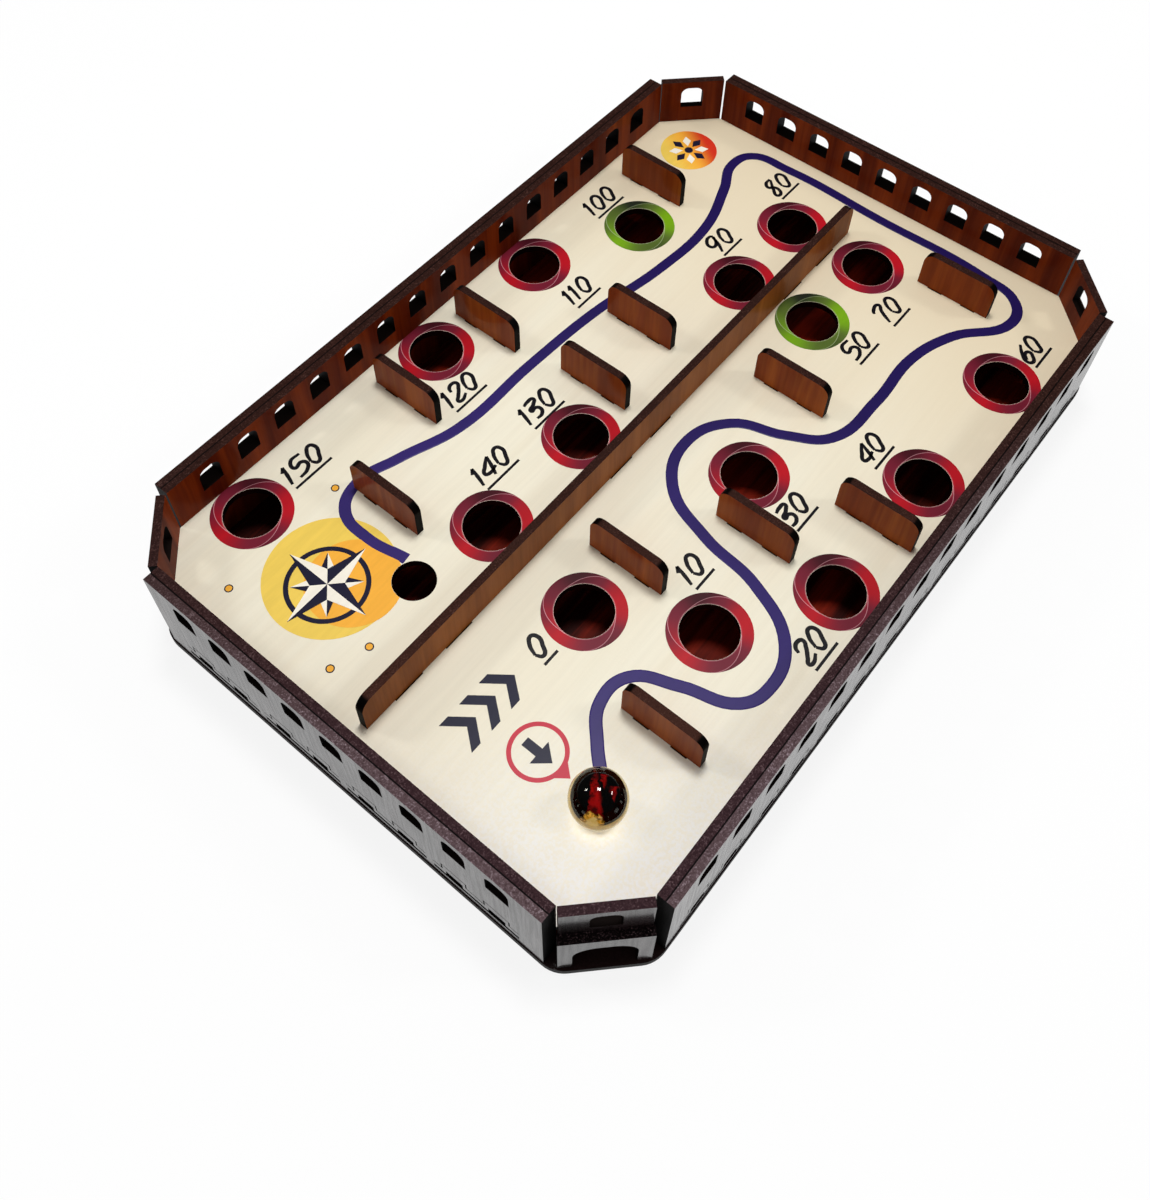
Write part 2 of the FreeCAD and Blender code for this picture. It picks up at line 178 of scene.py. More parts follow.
class MazeVarnishColours(bpy.types.PropertyGroup):
    """Colours of the varnished board and its laser-cut edges."""

    barrier_light: colour_property("Barrier light", "Lighter streaks of the barriers", 160, 80, 22)
    barrier_dark: colour_property("Barrier dark", "Darker streaks of the barriers", 128, 52, 9)
    divider_light: colour_property("Divider light", "Lighter streaks of the divider", 152, 88, 36)
    divider_dark: colour_property("Divider dark", "Darker streaks of the divider", 130, 70, 24)
    inner_light: colour_property("Inner light", "Lighter streaks of the inner faces", 128, 48, 7)
    inner_dark: colour_property("Inner dark", "Darker streaks of the inner faces", 84, 22, 2)
    outer_light: colour_property("Outer light", "Lighter streaks of the outer faces", 42, 31, 32)
    outer_dark: colour_property("Outer dark", "Darker streaks of the outer faces", 22, 16, 17)
    # Upward edges keep the cut's speckled colour, painted lighter than the side edges as light from
    # above
    edge_inner: colour_property("Inner edge", "Upward edge of the inner layer", 52, 33, 37)
    edge_outer: colour_property("Outer edge", "Upward edge of the outer layer", 86, 68, 71)
    edge_brown: colour_property("Brown edge", "Upward edge of a barrier or the divider", 62, 35, 27)
    edge_far: colour_property("Far edge", "Upward edges away from the start corner", 44, 23, 18)
    edge_skirt: colour_property("Skirt edge", "Upward edge of a corner skirt", 20, 12, 13)
    speck_pale: colour_property("Pale speck", "Fibres in the edge of the outer layer", 178, 160, 168)
    speck_dull: colour_property("Dull speck", "Fibres in the other near edges", 122, 98, 102)
    speck_brown: colour_property("Brown speck", "Fibres in the browner cut edges", 96, 66, 58)
    # Painted shade: upward faces inside the cut openings, dark as the shade that fills them
    sill: colour_property("Sill", "Upward faces inside the cut openings", 16, 8, 6)
    # Laser charring, painted darker still as shade on side edges, reveals, hole walls and tabs in
    # their slots
    char: colour_property("Char", "Scorched side edges and reveals", 4, 2, 2)
    base_light: colour_property("Base light", "Lighter streaks of the base plate", 158, 40, 18)
    base_dark: colour_property("Base dark", "Darker streaks of the base plate", 44, 8, 4)
    base_rim: colour_property("Base rim", "Smoke-stained rim of the base plate", 40, 25, 24)
    # Painted shade: the underside is dark so that little light bounces inside the tray
    deck_under: colour_property("Deck underside", "Stained underside of the deck", 32, 12, 7)


class MazeDeckColours(bpy.types.PropertyGroup):
    """Colours of the deck and of its prints."""

    # Painted highlight: the middle lamp's sheen on the satin birch in the start corner
    birch_pale: colour_property("Birch pale", "Birch in the start corner", 244, 243, 238)
    birch_light: colour_property("Birch light", "Birch between its grain lines", 244, 238, 217)
    birch_dark: colour_property("Birch dark", "Birch in its grain lines", 241, 233, 210)
    # Painted shade: yellower, darker birch at the far end
    birch_far: colour_property("Birch far", "Birch at the far end", 231, 215, 184)
    # Painted sheen: the track is painted lighter near the start, where the lamp's sheen falls, and
    # darker at the far end
    track: colour_property("Track", "Line from start to finish, near the start", 52, 38, 108)
    track_far: colour_property("Track far", "Line from start to finish, at the far end", 32, 18, 82)
    figure: colour_property("Figures", "Numbers and their underlines", 16, 13, 20)
    red_line: colour_property("Red ring line", "Thin lines in the red rings", 222, 156, 164)
    red_bright: colour_property("Red bright", "Brightest red of a ring", 186, 14, 30)
    red_middle: colour_property("Red middle", "Maroon of a ring", 116, 26, 46)
    red_dark: colour_property("Red dark", "Darkest maroon of a ring", 64, 12, 24)
    green_line: colour_property("Green ring line", "Thin lines in the green rings", 176, 190, 142)
    green_bright: colour_property("Green bright", "Brightest green of a ring", 118, 168, 18)
    green_middle: colour_property("Green middle", "Olive of a ring", 84, 104, 40)
    green_dark: colour_property("Green dark", "Darkest green of a ring", 32, 38, 28)
    pin: colour_property("Pin", "Start pin", 202, 48, 68)
    yellow: colour_property("Yellow", "Ground of the finish disc", 243, 208, 92)
    orange: colour_property("Orange", "Lower part of the finish disc", 250, 180, 62)
    red: colour_property("Red", "Hot side of the turn disc", 214, 52, 30)
    navy: colour_property("Navy", "Dark rays and outlines", 26, 25, 50)
    cream: colour_property("Cream", "Light rays and petals", 250, 244, 228)


class MazeMarbleLooks(bpy.types.PropertyGroup):
    """Glass and swirl of the marble."""

    glass: colour_property("Glass", "Tint of the clear glass", 228, 200, 116)
    core: colour_property("Core", "Black of the swirl", 2, 2, 3)
    flame: colour_property("Flame", "Red of the swirl", 126, 8, 12)
    ember: colour_property("Ember", "Yellow of the swirl", 255, 206, 100)
    # Painted light: cream at the foot of the swirl, where the glass focuses the lamps' light
    ash: colour_property("Ash", "Cream at the foot of the swirl", 255, 240, 190)
    core_radius: length_property("Core radius", "Radius of the swirl's body", 0.00545)
    core_lift: length_property("Core lift", "Distance of the swirl from the middle", 0.0004)


class MazeStageLights(bpy.types.PropertyGroup):
    """Floor, lamps and surroundings."""

    lamp_height: length_property("Lamp height", "Height of the row of lamps", 1.2)
    lamp_spread: length_property("Lamp spread", "Distance from the middle lamp to the others", 1.3)
    lamp_size: length_property("Lamp size", "Side of a square lamp", 0.24)
    middle_power: number_property("Middle lamp", "Power of the lamp overhead", 7.8, unit="POWER")
    side_power: number_property("Side lamps", "Power of each lamp at the side", 3.4, unit="POWER")
    ambient: number_property("Ambient", "Light from the surroundings, low down", 0.44)
    overhead: number_property("Overhead", "Light from the surroundings, overhead", 0.28)
    horizon: number_property("Horizon", "Brightness of the horizon in reflections", 0.8)
    ceiling: number_property("Ceiling", "Brightness of the ceiling in reflections", 0.05)
    floor_glow: number_property(
        "Floor glow", "Share of the floor's white that shadows leave", 0.86,
        subtype="FACTOR", min=0.0, max=1.0,
    )


def sizes():
    """Sizes of the prints, as set in the panel."""
    return bpy.context.scene.maze_sizes


def varnish():
    """Colours of the varnished board, as set in the panel."""
    return bpy.context.scene.maze_varnish


def paints():
    """Colours of the deck and its prints, as set in the panel."""
    return bpy.context.scene.maze_deck


BLACK = (0.0, 0.0, 0.0)
WHITE = (1.0, 1.0, 1.0)

# First of a Mix node's two inputs, and its output, for numbers and for colours
MIX_SOCKETS = {"FLOAT": (2, 0), "RGBA": (6, 2)}


class Wiring:
    """Adds nodes to one node tree and links them."""

    def __init__(self, tree):
        self.tree = tree

    def node(self, kind, **settings):
        """Add a node with the given settings."""
        made = self.tree.nodes.new(kind)
        for setting, value in settings.items():
            setattr(made, setting, value)
        return made

    def feed(self, socket, value):
        """Link the socket to an output, or give it a plain value or a colour."""
        if isinstance(value, bpy.types.NodeSocket):
            self.tree.links.new(value, socket)
        elif socket.type == "RGBA":
            socket.default_value = (*value, 1.0)
        else:
            socket.default_value = value

    def fill(self, node, *values, **named):
        """Feed a node's inputs in order or by name, and return its outputs."""
        for socket, value in zip(node.inputs, values):
            self.feed(socket, value)
        for label, value in named.items():
            self.feed(node.inputs[label.replace("_", " ")], value)
        return node.outputs

    def math(self, operation, *numbers):
        """Number worked out from one, two or three others."""
        return self.fill(self.node("ShaderNodeMath", operation=operation), *numbers)[0]

    def step(self, value, low, high, start=0.0, end=1.0):
        """Smooth change from start to end while the value goes from low to high."""
        made = self.node("ShaderNodeMapRange", interpolation_type="SMOOTHSTEP")
        return self.fill(made, value, low, high, start, end)[0]

    def vector(self, operation, *places, result="Vector"):
        """Vector, or number, worked out from one or two vectors."""
        made = self.node("ShaderNodeVectorMath", operation=operation)
        return self.fill(made, *places)[result]

    def dot(self, place, direction):
        """How far a place lies along a direction."""
        return self.vector("DOT_PRODUCT", place, direction, result="Value")

    def mix(self, kind, factor, first, second, **settings):
        """Number or colour mixed from two others."""
        made = self.node("ShaderNodeMix", data_type=kind, **settings)
        start, result = MIX_SOCKETS[kind]
        self.feed(made.inputs[0], factor)
        self.feed(made.inputs[start], first)
        self.feed(made.inputs[start + 1], second)
        return made.outputs[result]

    def choose(self, flag, otherwise, chosen):
        """The chosen number where the flag is one, and the other where it is zero."""
        return self.mix("FLOAT", flag, otherwise, chosen)

    def blend(self, factor, first, second, mode="MIX"):
        """Colour blended from two others."""
        return self.mix("RGBA", factor, first, second, blend_type=mode)

    def scaled(self, colour, level):
        """Colour with each of its parts multiplied by a number."""
        grey = self.fill(self.node("ShaderNodeCombineColor"), level, level, level)[0]
        return self.blend(1.0, colour, grey, "MULTIPLY")

    def noise(self, place, scale, detail=3.0, roughness=0.5, distortion=0.0):
        """Value of a noise texture at the given place."""
        made = self.node("ShaderNodeTexNoise")
        return self.fill(
            made, Vector=place, Scale=scale, Detail=detail, Roughness=roughness,
            Distortion=distortion,
        )[0]

    def place(self, kind="Object"):
        """Texture coordinates. Object coordinates are metres in the frame."""
        return self.node("ShaderNodeTexCoord").outputs[kind]

    def effect(self, name, **values):
        """Place a shared effect with the given input values, and return its outputs."""
        return self.fill(self.node("ShaderNodeGroup", node_tree=shared_effect(name)), **values)

    def bump(self, height, strength, depth):
        """Normal bent by a height."""
        made = self.node("ShaderNodeBump")
        return self.fill(made, Strength=strength, Distance=depth, Height=height)["Normal"]


# Kind of a group's socket, by the type of its default; a colour is four numbers
SOCKET_KINDS = {float: "NodeSocketFloat", Vector: "NodeSocketVector", tuple: "NodeSocketColor"}
ANY_COLOUR = (0.5, 0.5, 0.5, 1.0)

# Closeness of the grain along each axis, which is least in the direction that the grain runs
UPRIGHT_GRAIN = Vector((260.0, 260.0, 14.0))
BASE_GRAIN = (14.0, 260.0, 260.0)
BIRCH_GRAIN = (9.0, 210.0, 1.0)
INK_GRAIN = (60.0, 420.0, 60.0)

# Closeness of the other fine patterns
FIBRE_SCALE = 1900.0
CLOUD_SCALE = 260.0
PEEL_SCALE = 1100.0
HAZE_SCALE = 420.0

# Strength and depth of each bump
FIBRE_BUMP = (0.35, 0.0002)
STAIN_BUMP = (0.15, 0.0001)
PEEL_BUMP = (0.25, 0.00012)
INK_BUMP = (0.15, 0.00005)


def effect_tree(name, inputs, outputs):
    """New node group with the named sockets; returns its wiring and its two ends.

    An output named Color is a colour, and every other output is a number.
    """
    tree = bpy.data.node_groups.new(name, "ShaderNodeTree")
    for label, default in inputs.items():
        kind = SOCKET_KINDS[type(default)]
        socket = tree.interface.new_socket(label, in_out="INPUT", socket_type=kind)
        socket.default_value = default
    for label in outputs:
        kind = SOCKET_KINDS[tuple if label == "Color" else float]
        tree.interface.new_socket(label, in_out="OUTPUT", socket_type=kind)
    wiring = Wiring(tree)
    return wiring, wiring.node("NodeGroupInput").outputs, wiring.node("NodeGroupOutput")


def make_sheet_masks():
    """Masks for a sheet's faces, its upward edges, the highest of them and its glue line."""
    wiring, given, result = effect_tree(
        "sheet_masks", {"Face Axis": UP, "Crest": 0.0, "Seam": 1.0},
        ("Face", "Front", "Top", "Crown", "Glue"),
    )
    normal = wiring.place("Normal")
    outward = wiring.dot(normal, given["Face Axis"])
    top = wiring.step(wiring.dot(normal, UP), 0.90, 0.995)
    place = wiring.place()
    below = wiring.math("SUBTRACT", given["Crest"], wiring.dot(place, UP))
    crown = wiring.step(below, 0.0003, 0.0009, 1.0, 0.0)
    gap = wiring.math("SUBTRACT", wiring.dot(place, given["Face Axis"]), given["Seam"])
    wiring.fill(
        result,
        Face=wiring.step(wiring.math("ABSOLUTE", outward), 0.75, 0.95),
        Front=wiring.math("GREATER_THAN", outward, 0.0),
        Top=top,
        Crown=wiring.math("MULTIPLY", top, crown),
        Glue=wiring.step(wiring.math("ABSOLUTE", gap), 0.00012, 0.0003, 1.0, 0.0),
    )


def make_veneer_grain():
    """Streaky wood grain between two colours, drawn out along one axis by the stretch."""
    wiring, given, result = effect_tree(
        "veneer_grain",
        {"Stretch": UPRIGHT_GRAIN, "Pores": 0.3, "Light": ANY_COLOUR, "Dark": ANY_COLOUR},
        ("Color", "Height"),
    )
    drawn = wiring.vector("MULTIPLY", wiring.place(), given["Stretch"])
    broad = wiring.noise(drawn, 0.35, 4.0, 0.6, 0.4)
    fine = wiring.noise(drawn, 3.0, 3.0, 0.65)
    tone = wiring.blend(wiring.step(broad, 0.36, 0.66), given["Dark"], given["Light"])
    pores = wiring.step(fine, 0.30, 0.70, -0.65, 0.35)
    level = wiring.math("MULTIPLY_ADD", pores, given["Pores"], 1.0)
    wiring.fill(result, Color=wiring.scaled(tone, level), Height=fine)


def make_cut_edge():
    """Speckled fibres of a laser-cut edge."""
    wiring, given, result = effect_tree(
        "cut_edge", {"Ground": ANY_COLOUR, "Speck": ANY_COLOUR}, ("Color", "Height")
    )
    place = wiring.place()
    fibre = wiring.noise(place, FIBRE_SCALE, 3.0, 0.7)
    cloud = wiring.noise(place, CLOUD_SCALE, 2.0, 0.5)
    specks = wiring.step(fibre, 0.50, 0.74, 0.0, 0.85)
    pits = wiring.step(fibre, 0.30, 0.46, 0.55, 0.0)
    patchy = wiring.math("MULTIPLY", specks, wiring.step(cloud, 0.30, 0.70, 0.35, 1.0))
    speckled = wiring.blend(patchy, given["Ground"], given["Speck"])
    wiring.fill(result, Color=wiring.blend(pits, speckled, BLACK), Height=fibre)


def make_ink_mottle():
    """Ink that is a little uneven over the wood below it."""
    wiring, given, result = effect_tree("ink_mottle", {"Ink": ANY_COLOUR}, ("Color", "Height"))
    drawn = wiring.vector("MULTIPLY", wiring.place(), INK_GRAIN)
    grain = wiring.noise(drawn, 1.0, 4.0, 0.6)
    level = wiring.step(grain, 0.30, 0.70, 0.96, 1.04)
    wiring.fill(result, Color=wiring.scaled(given["Ink"], level), Height=grain)


# Tone round a score ring: angle in degrees from +X, and brightness from 0 to 1
RING_TONES = (
    (-180, 0.95), (-135, 0.38), (-100, 0.42), (-65, 0.75), (-35, 1.0), (0, 0.68),
    (40, 0.08), (65, 0.14), (100, 0.48), (140, 0.72), (180, 0.95),
)
# Lines that swoop in from the rim: where they start and how far they turn, in degrees, how near
# the hole they end as a share of the ring, and how much darker the ring is outside them
SWOOSH_STARTS = (97.0, -5.0, 218.0)
SWOOSH_SWEEP = 85.0
SWOOSH_END = 0.04
SWOOSH_SHADE = 0.16


def make_ring_print():
    """Shaded score ring with a pale inner line and three lines that swoop into it."""
    wiring, given, result = effect_tree(
        "ring_print",
        {
            "Bright": ANY_COLOUR, "Middle": ANY_COLOUR, "Dark": ANY_COLOUR, "Line": ANY_COLOUR,
            "Inside Share": 0.7, "Line Share": 0.02,
        },
        ("Color",),
    )
    centred = wiring.vector("SUBTRACT", wiring.place("UV"), (0.5, 0.5, 0.0))
    radians = wiring.math("ARCTAN2", wiring.dot(centred, ACROSS), wiring.dot(centred, ALONG))
    degrees = wiring.math("DEGREES", radians)
    # Radius as a share of the outer radius, because the UV square holds the whole ring
    reach = wiring.math("MULTIPLY", wiring.vector("LENGTH", centred, result="Value"), 2.0)
    band = wiring.math("SUBTRACT", 1.0, given["Inside Share"])
    across = wiring.math("DIVIDE", wiring.math("SUBTRACT", reach, given["Inside Share"]), band)
    tone = tone_round(wiring, degrees)

    # The line round the hole is fainter than the three that swoop
    lines = wiring.step(across, 0.05, 0.09, 0.4, 0.0)
    outside = 0.0
    thin = wiring.math("DIVIDE", given["Line Share"], band)
    for start in SWOOSH_STARTS:
        gone = wiring.math("WRAP", wiring.math("SUBTRACT", degrees, start), 360.0, 0.0)
        share = wiring.math("DIVIDE", gone, SWOOSH_SWEEP)
        gap = wiring.math("SUBTRACT", across, wiring.step(share, 0.0, 1.0, 1.0, SWOOSH_END))
        running = wiring.math("LESS_THAN", share, 1.0)
        near = wiring.math("LESS_THAN", wiring.math("ABSOLUTE", gap), thin)
        lines = wiring.math("MAXIMUM", lines, wiring.math("MULTIPLY", near, running))
        # The darker side of the line fades out before the line ends, so that no step is left
        fading = wiring.step(share, 0.45, 1.0, 1.0, 0.0)
        beyond = wiring.math("MULTIPLY", wiring.math("GREATER_THAN", gap, 0.0), fading)
        outside = wiring.math("MAXIMUM", outside, beyond)

    shaded = wiring.math("SUBTRACT", tone, wiring.math("MULTIPLY", outside, SWOOSH_SHADE))
    ground = wiring.blend(wiring.step(shaded, 0.0, 0.5), given["Dark"], given["Middle"])
    ground = wiring.blend(wiring.step(shaded, 0.45, 0.95), ground, given["Bright"])
    faint = wiring.math("MULTIPLY", lines, wiring.step(shaded, 0.0, 0.9, 0.40, 0.82))
    wiring.fill(result, Color=wiring.blend(faint, ground, given["Line"]))


def tone_round(wiring, degrees):
    """Brightness of a score ring at an angle, read from a smooth ramp."""
    tones = wiring.node("ShaderNodeValToRGB")
    ramp = tones.color_ramp
    ramp.interpolation = "B_SPLINE"
    while len(ramp.elements) < len(RING_TONES):
        ramp.elements.new(0.5)
    for element, (angle, tone) in zip(ramp.elements, RING_TONES):
        element.position = angle / 360 + 0.5
        element.color = (tone, tone, tone, 1.0)
    return wiring.fill(tones, wiring.math("MULTIPLY_ADD", degrees, 1 / 360, 0.5))["Color"]


EFFECT_MAKERS = {
    "sheet_masks": make_sheet_masks,
    "veneer_grain": make_veneer_grain,
    "cut_edge": make_cut_edge,
    "ink_mottle": make_ink_mottle,
    "ring_print": make_ring_print,
}


def shared_effect(name):
    """The named effect, made the first time that a material asks for it."""
    if name not in bpy.data.node_groups:
        EFFECT_MAKERS[name]()
    return bpy.data.node_groups[name]


def bare_wiring(holder):
    """Wiring of the emptied node tree of a material or a world."""
    holder.use_nodes = True
    holder.node_tree.nodes.clear()
    return Wiring(holder.node_tree)


def new_material(name):
    """Empty material with a Principled shader; returns it, its wiring and the shader."""
    material = bpy.data.materials.new(name)
    wiring = bare_wiring(material)
    shader = wiring.node("ShaderNodeBsdfPrincipled")
    wiring.fill(wiring.node("ShaderNodeOutputMaterial"), Surface=shader.outputs["BSDF"])
    return material, wiring, shader


FaceLook = namedtuple("FaceLook", "light dark gloss")
EdgeLook = namedtuple("EdgeLook", "ground speck")
CoatLook = namedtuple("CoatLook", "roughness ior")

# Share of the varnish's gloss on each kind of face, and the varnish itself
OUTER_GLOSS = 0.82
INNER_GLOSS = 0.08
BARRIER_GLOSS = 0.34
DIVIDER_GLOSS = 0.20
BASE_GLOSS = 0.12
OUTER_COAT = CoatLook(0.16, 1.5)
INNER_COAT = CoatLook(0.12, 1.5)
STRIP_COAT = CoatLook(0.14, 1.3)
# Share of the gloss that is left in the pores of the grain
PORE_GLOSS = 0.78
# Height over which the charring and painted slot shade of the tabs gives way to the grain
CHAR_AND_SHADE_FADE = 0.1 * MM
# Surfaces under the coat: the boards, the base plate, and the satin birch with its prints
BOARD_SURFACE = {"Roughness": 0.6, "Specular_IOR_Level": 0.04}
BASE_SURFACE = {"Roughness": 0.5, "Specular_IOR_Level": 0.05, "Coat_Roughness": 0.15}
SATIN = {"Roughness": 0.36, "Specular_IOR_Level": 0.16}


def crown_edge(wiring, edge):
    """Cut edge with the given look near the start corner, and browner away from it."""
    close = wiring.step(wiring.dot(wiring.place(), TO_START_CORNER), 0.0, 0.14)
    ground = wiring.blend(close, varnish().edge_far, edge.ground)
    speck = wiring.blend(close, varnish().speck_brown, edge.speck)
    return wiring.effect("cut_edge", Ground=ground, Speck=speck)


def board_material(name, crest, axis, front, back, edge, coat, seam=1.0, foot=-1.0):
    """Varnished fibreboard with grained faces, a speckled top edge and charred side edges; the top
    edge is painted lighter as light from above, the side edges darker as shade.

    The front is the face that the axis points out of. The crest is the height of the top edge;
    lower upward faces are sills of openings, painted dark as their shade. The seam is how far
    along the axis the sheet is glued to the next one. Below the foot are tabs, which are charred
    all round and painted black as the shade in their slots.
    """
    colours = varnish()
    material, wiring, shader = new_material(name)
    masks = wiring.effect("sheet_masks", Face_Axis=axis, Crest=crest, Seam=seam)
    above = wiring.step(wiring.dot(wiring.place(), UP), foot, foot + CHAR_AND_SHADE_FADE)
    face = wiring.math("MULTIPLY", masks["Face"], above)
    light = wiring.blend(masks["Front"], back.light, front.light)
    dark = wiring.blend(masks["Front"], back.dark, front.dark)
    grain = wiring.effect("veneer_grain", Pores=0.2, Light=light, Dark=dark)
    cut = crown_edge(wiring, edge)
    crown = wiring.blend(masks["Glue"], cut["Color"], colours.char)
    # Painted shade on the side edges, reveals, sills and tabs, and painted light on the top edge
    edges = wiring.blend(masks["Top"], colours.char, colours.sill)
    edges = wiring.blend(masks["Crown"], edges, crown)
    streaks = wiring.step(grain["Height"], 0.32, 0.68, PORE_GLOSS, 1.0)
    gloss = wiring.choose(masks["Front"], back.gloss, front.gloss)
    gloss = wiring.math("MULTIPLY", gloss, face)
    fibres = wiring.math("MULTIPLY", cut["Height"], wiring.math("SUBTRACT", 1.0, face))
    wiring.fill(
        shader, Base_Color=wiring.blend(face, edges, grain["Color"]),
        Coat_Weight=wiring.math("MULTIPLY", streaks, gloss),
        Coat_Roughness=coat.roughness, Coat_IOR=coat.ior,
        Normal=wiring.bump(fibres, *FIBRE_BUMP), **BOARD_SURFACE,
    )
    return material


def ink_material(name, shade, bumpy=True):
    """Satin ink, a little uneven, of one colour or of the shade that a function wires."""
    material, wiring, shader = new_material(name)
    colour = shade(wiring) if callable(shade) else shade
    ink = wiring.effect("ink_mottle", Ink=colour)
    wiring.fill(shader, Base_Color=ink["Color"], **SATIN)
    if bumpy:
        wiring.fill(shader, Normal=wiring.bump(ink["Height"], *INK_BUMP))
    return material


def coat_node(name, material):
    """Give a node of the frame its material."""
    node = frame["nodes"][name]
    if not node.material_slots:
        node.data.materials.append(material)
    for slot in node.material_slots:
        slot.material = material


def nodes_named(start):
    """Names of the frame's nodes that start with the given words."""
    return sorted(name for name in frame["nodes"] if name.startswith(start))


def add_piece(name, mesh, material, body="board"):
    """Show a finished mesh as a piece that rides on a body."""
    mesh.name = name
    mesh.materials.clear()
    mesh.materials.append(material)
    piece = bpy.data.objects.new(name, mesh)
    bpy.context.scene.collection.objects.link(piece)
    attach(piece, body)
    return piece


# Sides of a round print, and the distance under which two of its corners are one
ROUND_STEPS = 96
MERGE_DISTANCE = 1e-7
# How far prints are cut back past the corners of the finish hole's opening
FINISH_HOLE_MARGIN = 0.22 * MM


def mesh_from(shape, name, smooth=False):
    """Finished mesh from a bmesh, with its faces turned outwards."""
    bmesh.ops.remove_doubles(shape, verts=shape.verts, dist=MERGE_DISTANCE)
    bmesh.ops.recalc_face_normals(shape, faces=shape.faces)
    for face in shape.faces:
        face.smooth = smooth
    mesh = bpy.data.meshes.new(name)
    shape.to_mesh(mesh)
    shape.free()
    return mesh


def print_shape(name, shape, ink):
    """Show a finished shape of ink as a piece on the deck."""
    add_piece(name, mesh_from(shape, name), ink)


def mesh_of_object(holder):
    """Mesh of a scratch object as it shows, and the object is removed."""
    bpy.context.view_layer.update()
    shown = holder.evaluated_get(bpy.context.evaluated_depsgraph_get())
    mesh = bpy.data.meshes.new_from_object(shown)
    bpy.data.objects.remove(holder)
    return mesh


def scratch_object(name, data):
    """Object that is in the scene only until its shape is read."""
    holder = bpy.data.objects.new(name, data)
    bpy.context.scene.collection.objects.link(holder)
    return holder


# Smoothness of a brush stroke, round it and along it, and the part of its half width that slopes
STROKE_ROUND_STEPS = 3
STROKE_LENGTH_STEPS = 8
STROKE_SHOULDER = 0.35


def stroke_mesh(name, strokes, width, tips):
    """Round strokes through lists of points, thinned to the given share at their two ends."""
    curve = bpy.data.curves.new(name, "CURVE")
    curve.dimensions = "3D"
    curve.twist_mode = "Z_UP"
    curve.bevel_depth = width / 2
    curve.bevel_resolution = STROKE_ROUND_STEPS
    curve.resolution_u = STROKE_LENGTH_STEPS
    curve.use_fill_caps = True
    for points in strokes:
        spline = curve.splines.new("BEZIER")
        spline.bezier_points.add(len(points) - 1)
        for knot, point in zip(spline.bezier_points, points):
            knot.co = point
            knot.handle_left_type = "AUTO"
            knot.handle_right_type = "AUTO"
        spline.bezier_points[0].radius = tips
        spline.bezier_points[-1].radius = tips
    mesh = mesh_of_object(scratch_object(name, curve))
    shape = bmesh.new()
    shape.from_mesh(mesh)
    bpy.data.meshes.remove(mesh)
    return mesh_from(shape, name)


def print_strokes(name, strokes, width, ink, layer=1, tips=1.0):
    """Print brush strokes, flattened to flat-topped lines, on the given layer of ink."""
    mesh = stroke_mesh(name, strokes, width, tips)
    shoulder = STROKE_SHOULDER * width / 2
    half_height = layer * sizes().ink_height
    for vertex in mesh.vertices:
        share = max(-1.0, min(1.0, vertex.co.z / shoulder))
        vertex.co.z = DECK_TOP + share * half_height
    add_piece(name, mesh, ink)


def ink_foot():
    """Height of the underside of all ink, just inside the deck."""
    return DECK_TOP - sizes().ink_height


def move(shape, x, y, z):
    """Move a whole shape."""
    bmesh.ops.translate(shape, verts=shape.verts, vec=(x, y, z))


def thicken(shape, layer):
    """Raise flat faces at the foot of the ink to a closed patch on the given layer."""
    raised = bmesh.ops.extrude_face_region(shape, geom=shape.faces[:])["geom"]
    lifted = [part for part in raised if isinstance(part, bmesh.types.BMVert)]
    bmesh.ops.translate(shape, verts=lifted, vec=(0.0, 0.0, (1 + layer) * sizes().ink_height))
    return shape


def patch_shape(outline, layer=1):
    """Thin closed patch of ink over a flat outline."""
    shape = bmesh.new()
    shape.faces.new([shape.verts.new((x, y, ink_foot())) for x, y in outline])
    return thicken(shape, layer)


def disc_shape(centre, radius, layer=1):
    """Thin round patch of ink."""
    shape = bmesh.new()
    bmesh.ops.create_circle(shape, cap_ends=True, segments=ROUND_STEPS, radius=radius)
    move(shape, centre.x, centre.y, ink_foot())
    return thicken(shape, layer)


def ring_shape(centre, inside, outside, layer=1):
    """Thin ring of ink, spun from its cross-section."""
    shape = bmesh.new()
    foot = ink_foot()
    top = DECK_TOP + layer * sizes().ink_height
    section = [
        shape.verts.new((radius, 0.0, z))
        for radius, z in ((inside, foot), (outside, foot), (outside, top), (inside, top))
    ]
    edges = [shape.edges.new((section[i], section[(i + 1) % 4])) for i in range(4)]
    bmesh.ops.spin(
        shape, geom=section + edges, cent=(0.0, 0.0, 0.0), axis=UP, dvec=(0.0, 0.0, 0.0),
        angle=2 * math.pi, steps=ROUND_STEPS, use_merge=True, use_duplicate=False,
    )
    move(shape, centre.x, centre.y, 0.0)
    return shape


def flat_uv(mesh, centre, radius):
    """UV map that looks straight down on a round print, which fills the square."""
    layer = mesh.uv_layers.new(name="print")
    for loop in mesh.loops:
        point = mesh.vertices[loop.vertex_index].co
        layer.data[loop.index].uv = (
            (point.x - centre.x) / (2 * radius) + 0.5,
            (point.y - centre.y) / (2 * radius) + 0.5,
        )


def all_parts(shape):
    """Corners, edges and faces of a shape."""
    return shape.verts[:] + shape.edges[:] + shape.faces[:]


def cut_at_walls(shape):
    """Cut a print off where it would run under a long wall."""
    for side in (-1, 1):
        bmesh.ops.bisect_plane(
            shape, geom=all_parts(shape), dist=1e-8, clear_outer=True,
            plane_co=(0.0, side * FIELD_HALF_WIDTH, 0.0), plane_no=(0.0, side, 0.0),
        )
    open_edges = [edge for edge in shape.edges if edge.is_boundary]
    bmesh.ops.holes_fill(shape, edges=open_edges, sides=0)


def hole_centre(name):
    """Middle of a hole in the deck, as a flat vector."""
    low, high = OPENINGS[name]
    return (Vector(low) + Vector(high)).to_2d() / 2


def score_centre(score):
    """Middle of the hole with the given score."""
    return hole_centre(f"scoring_hole_{score // SCORE_STEP + 1:02d}")


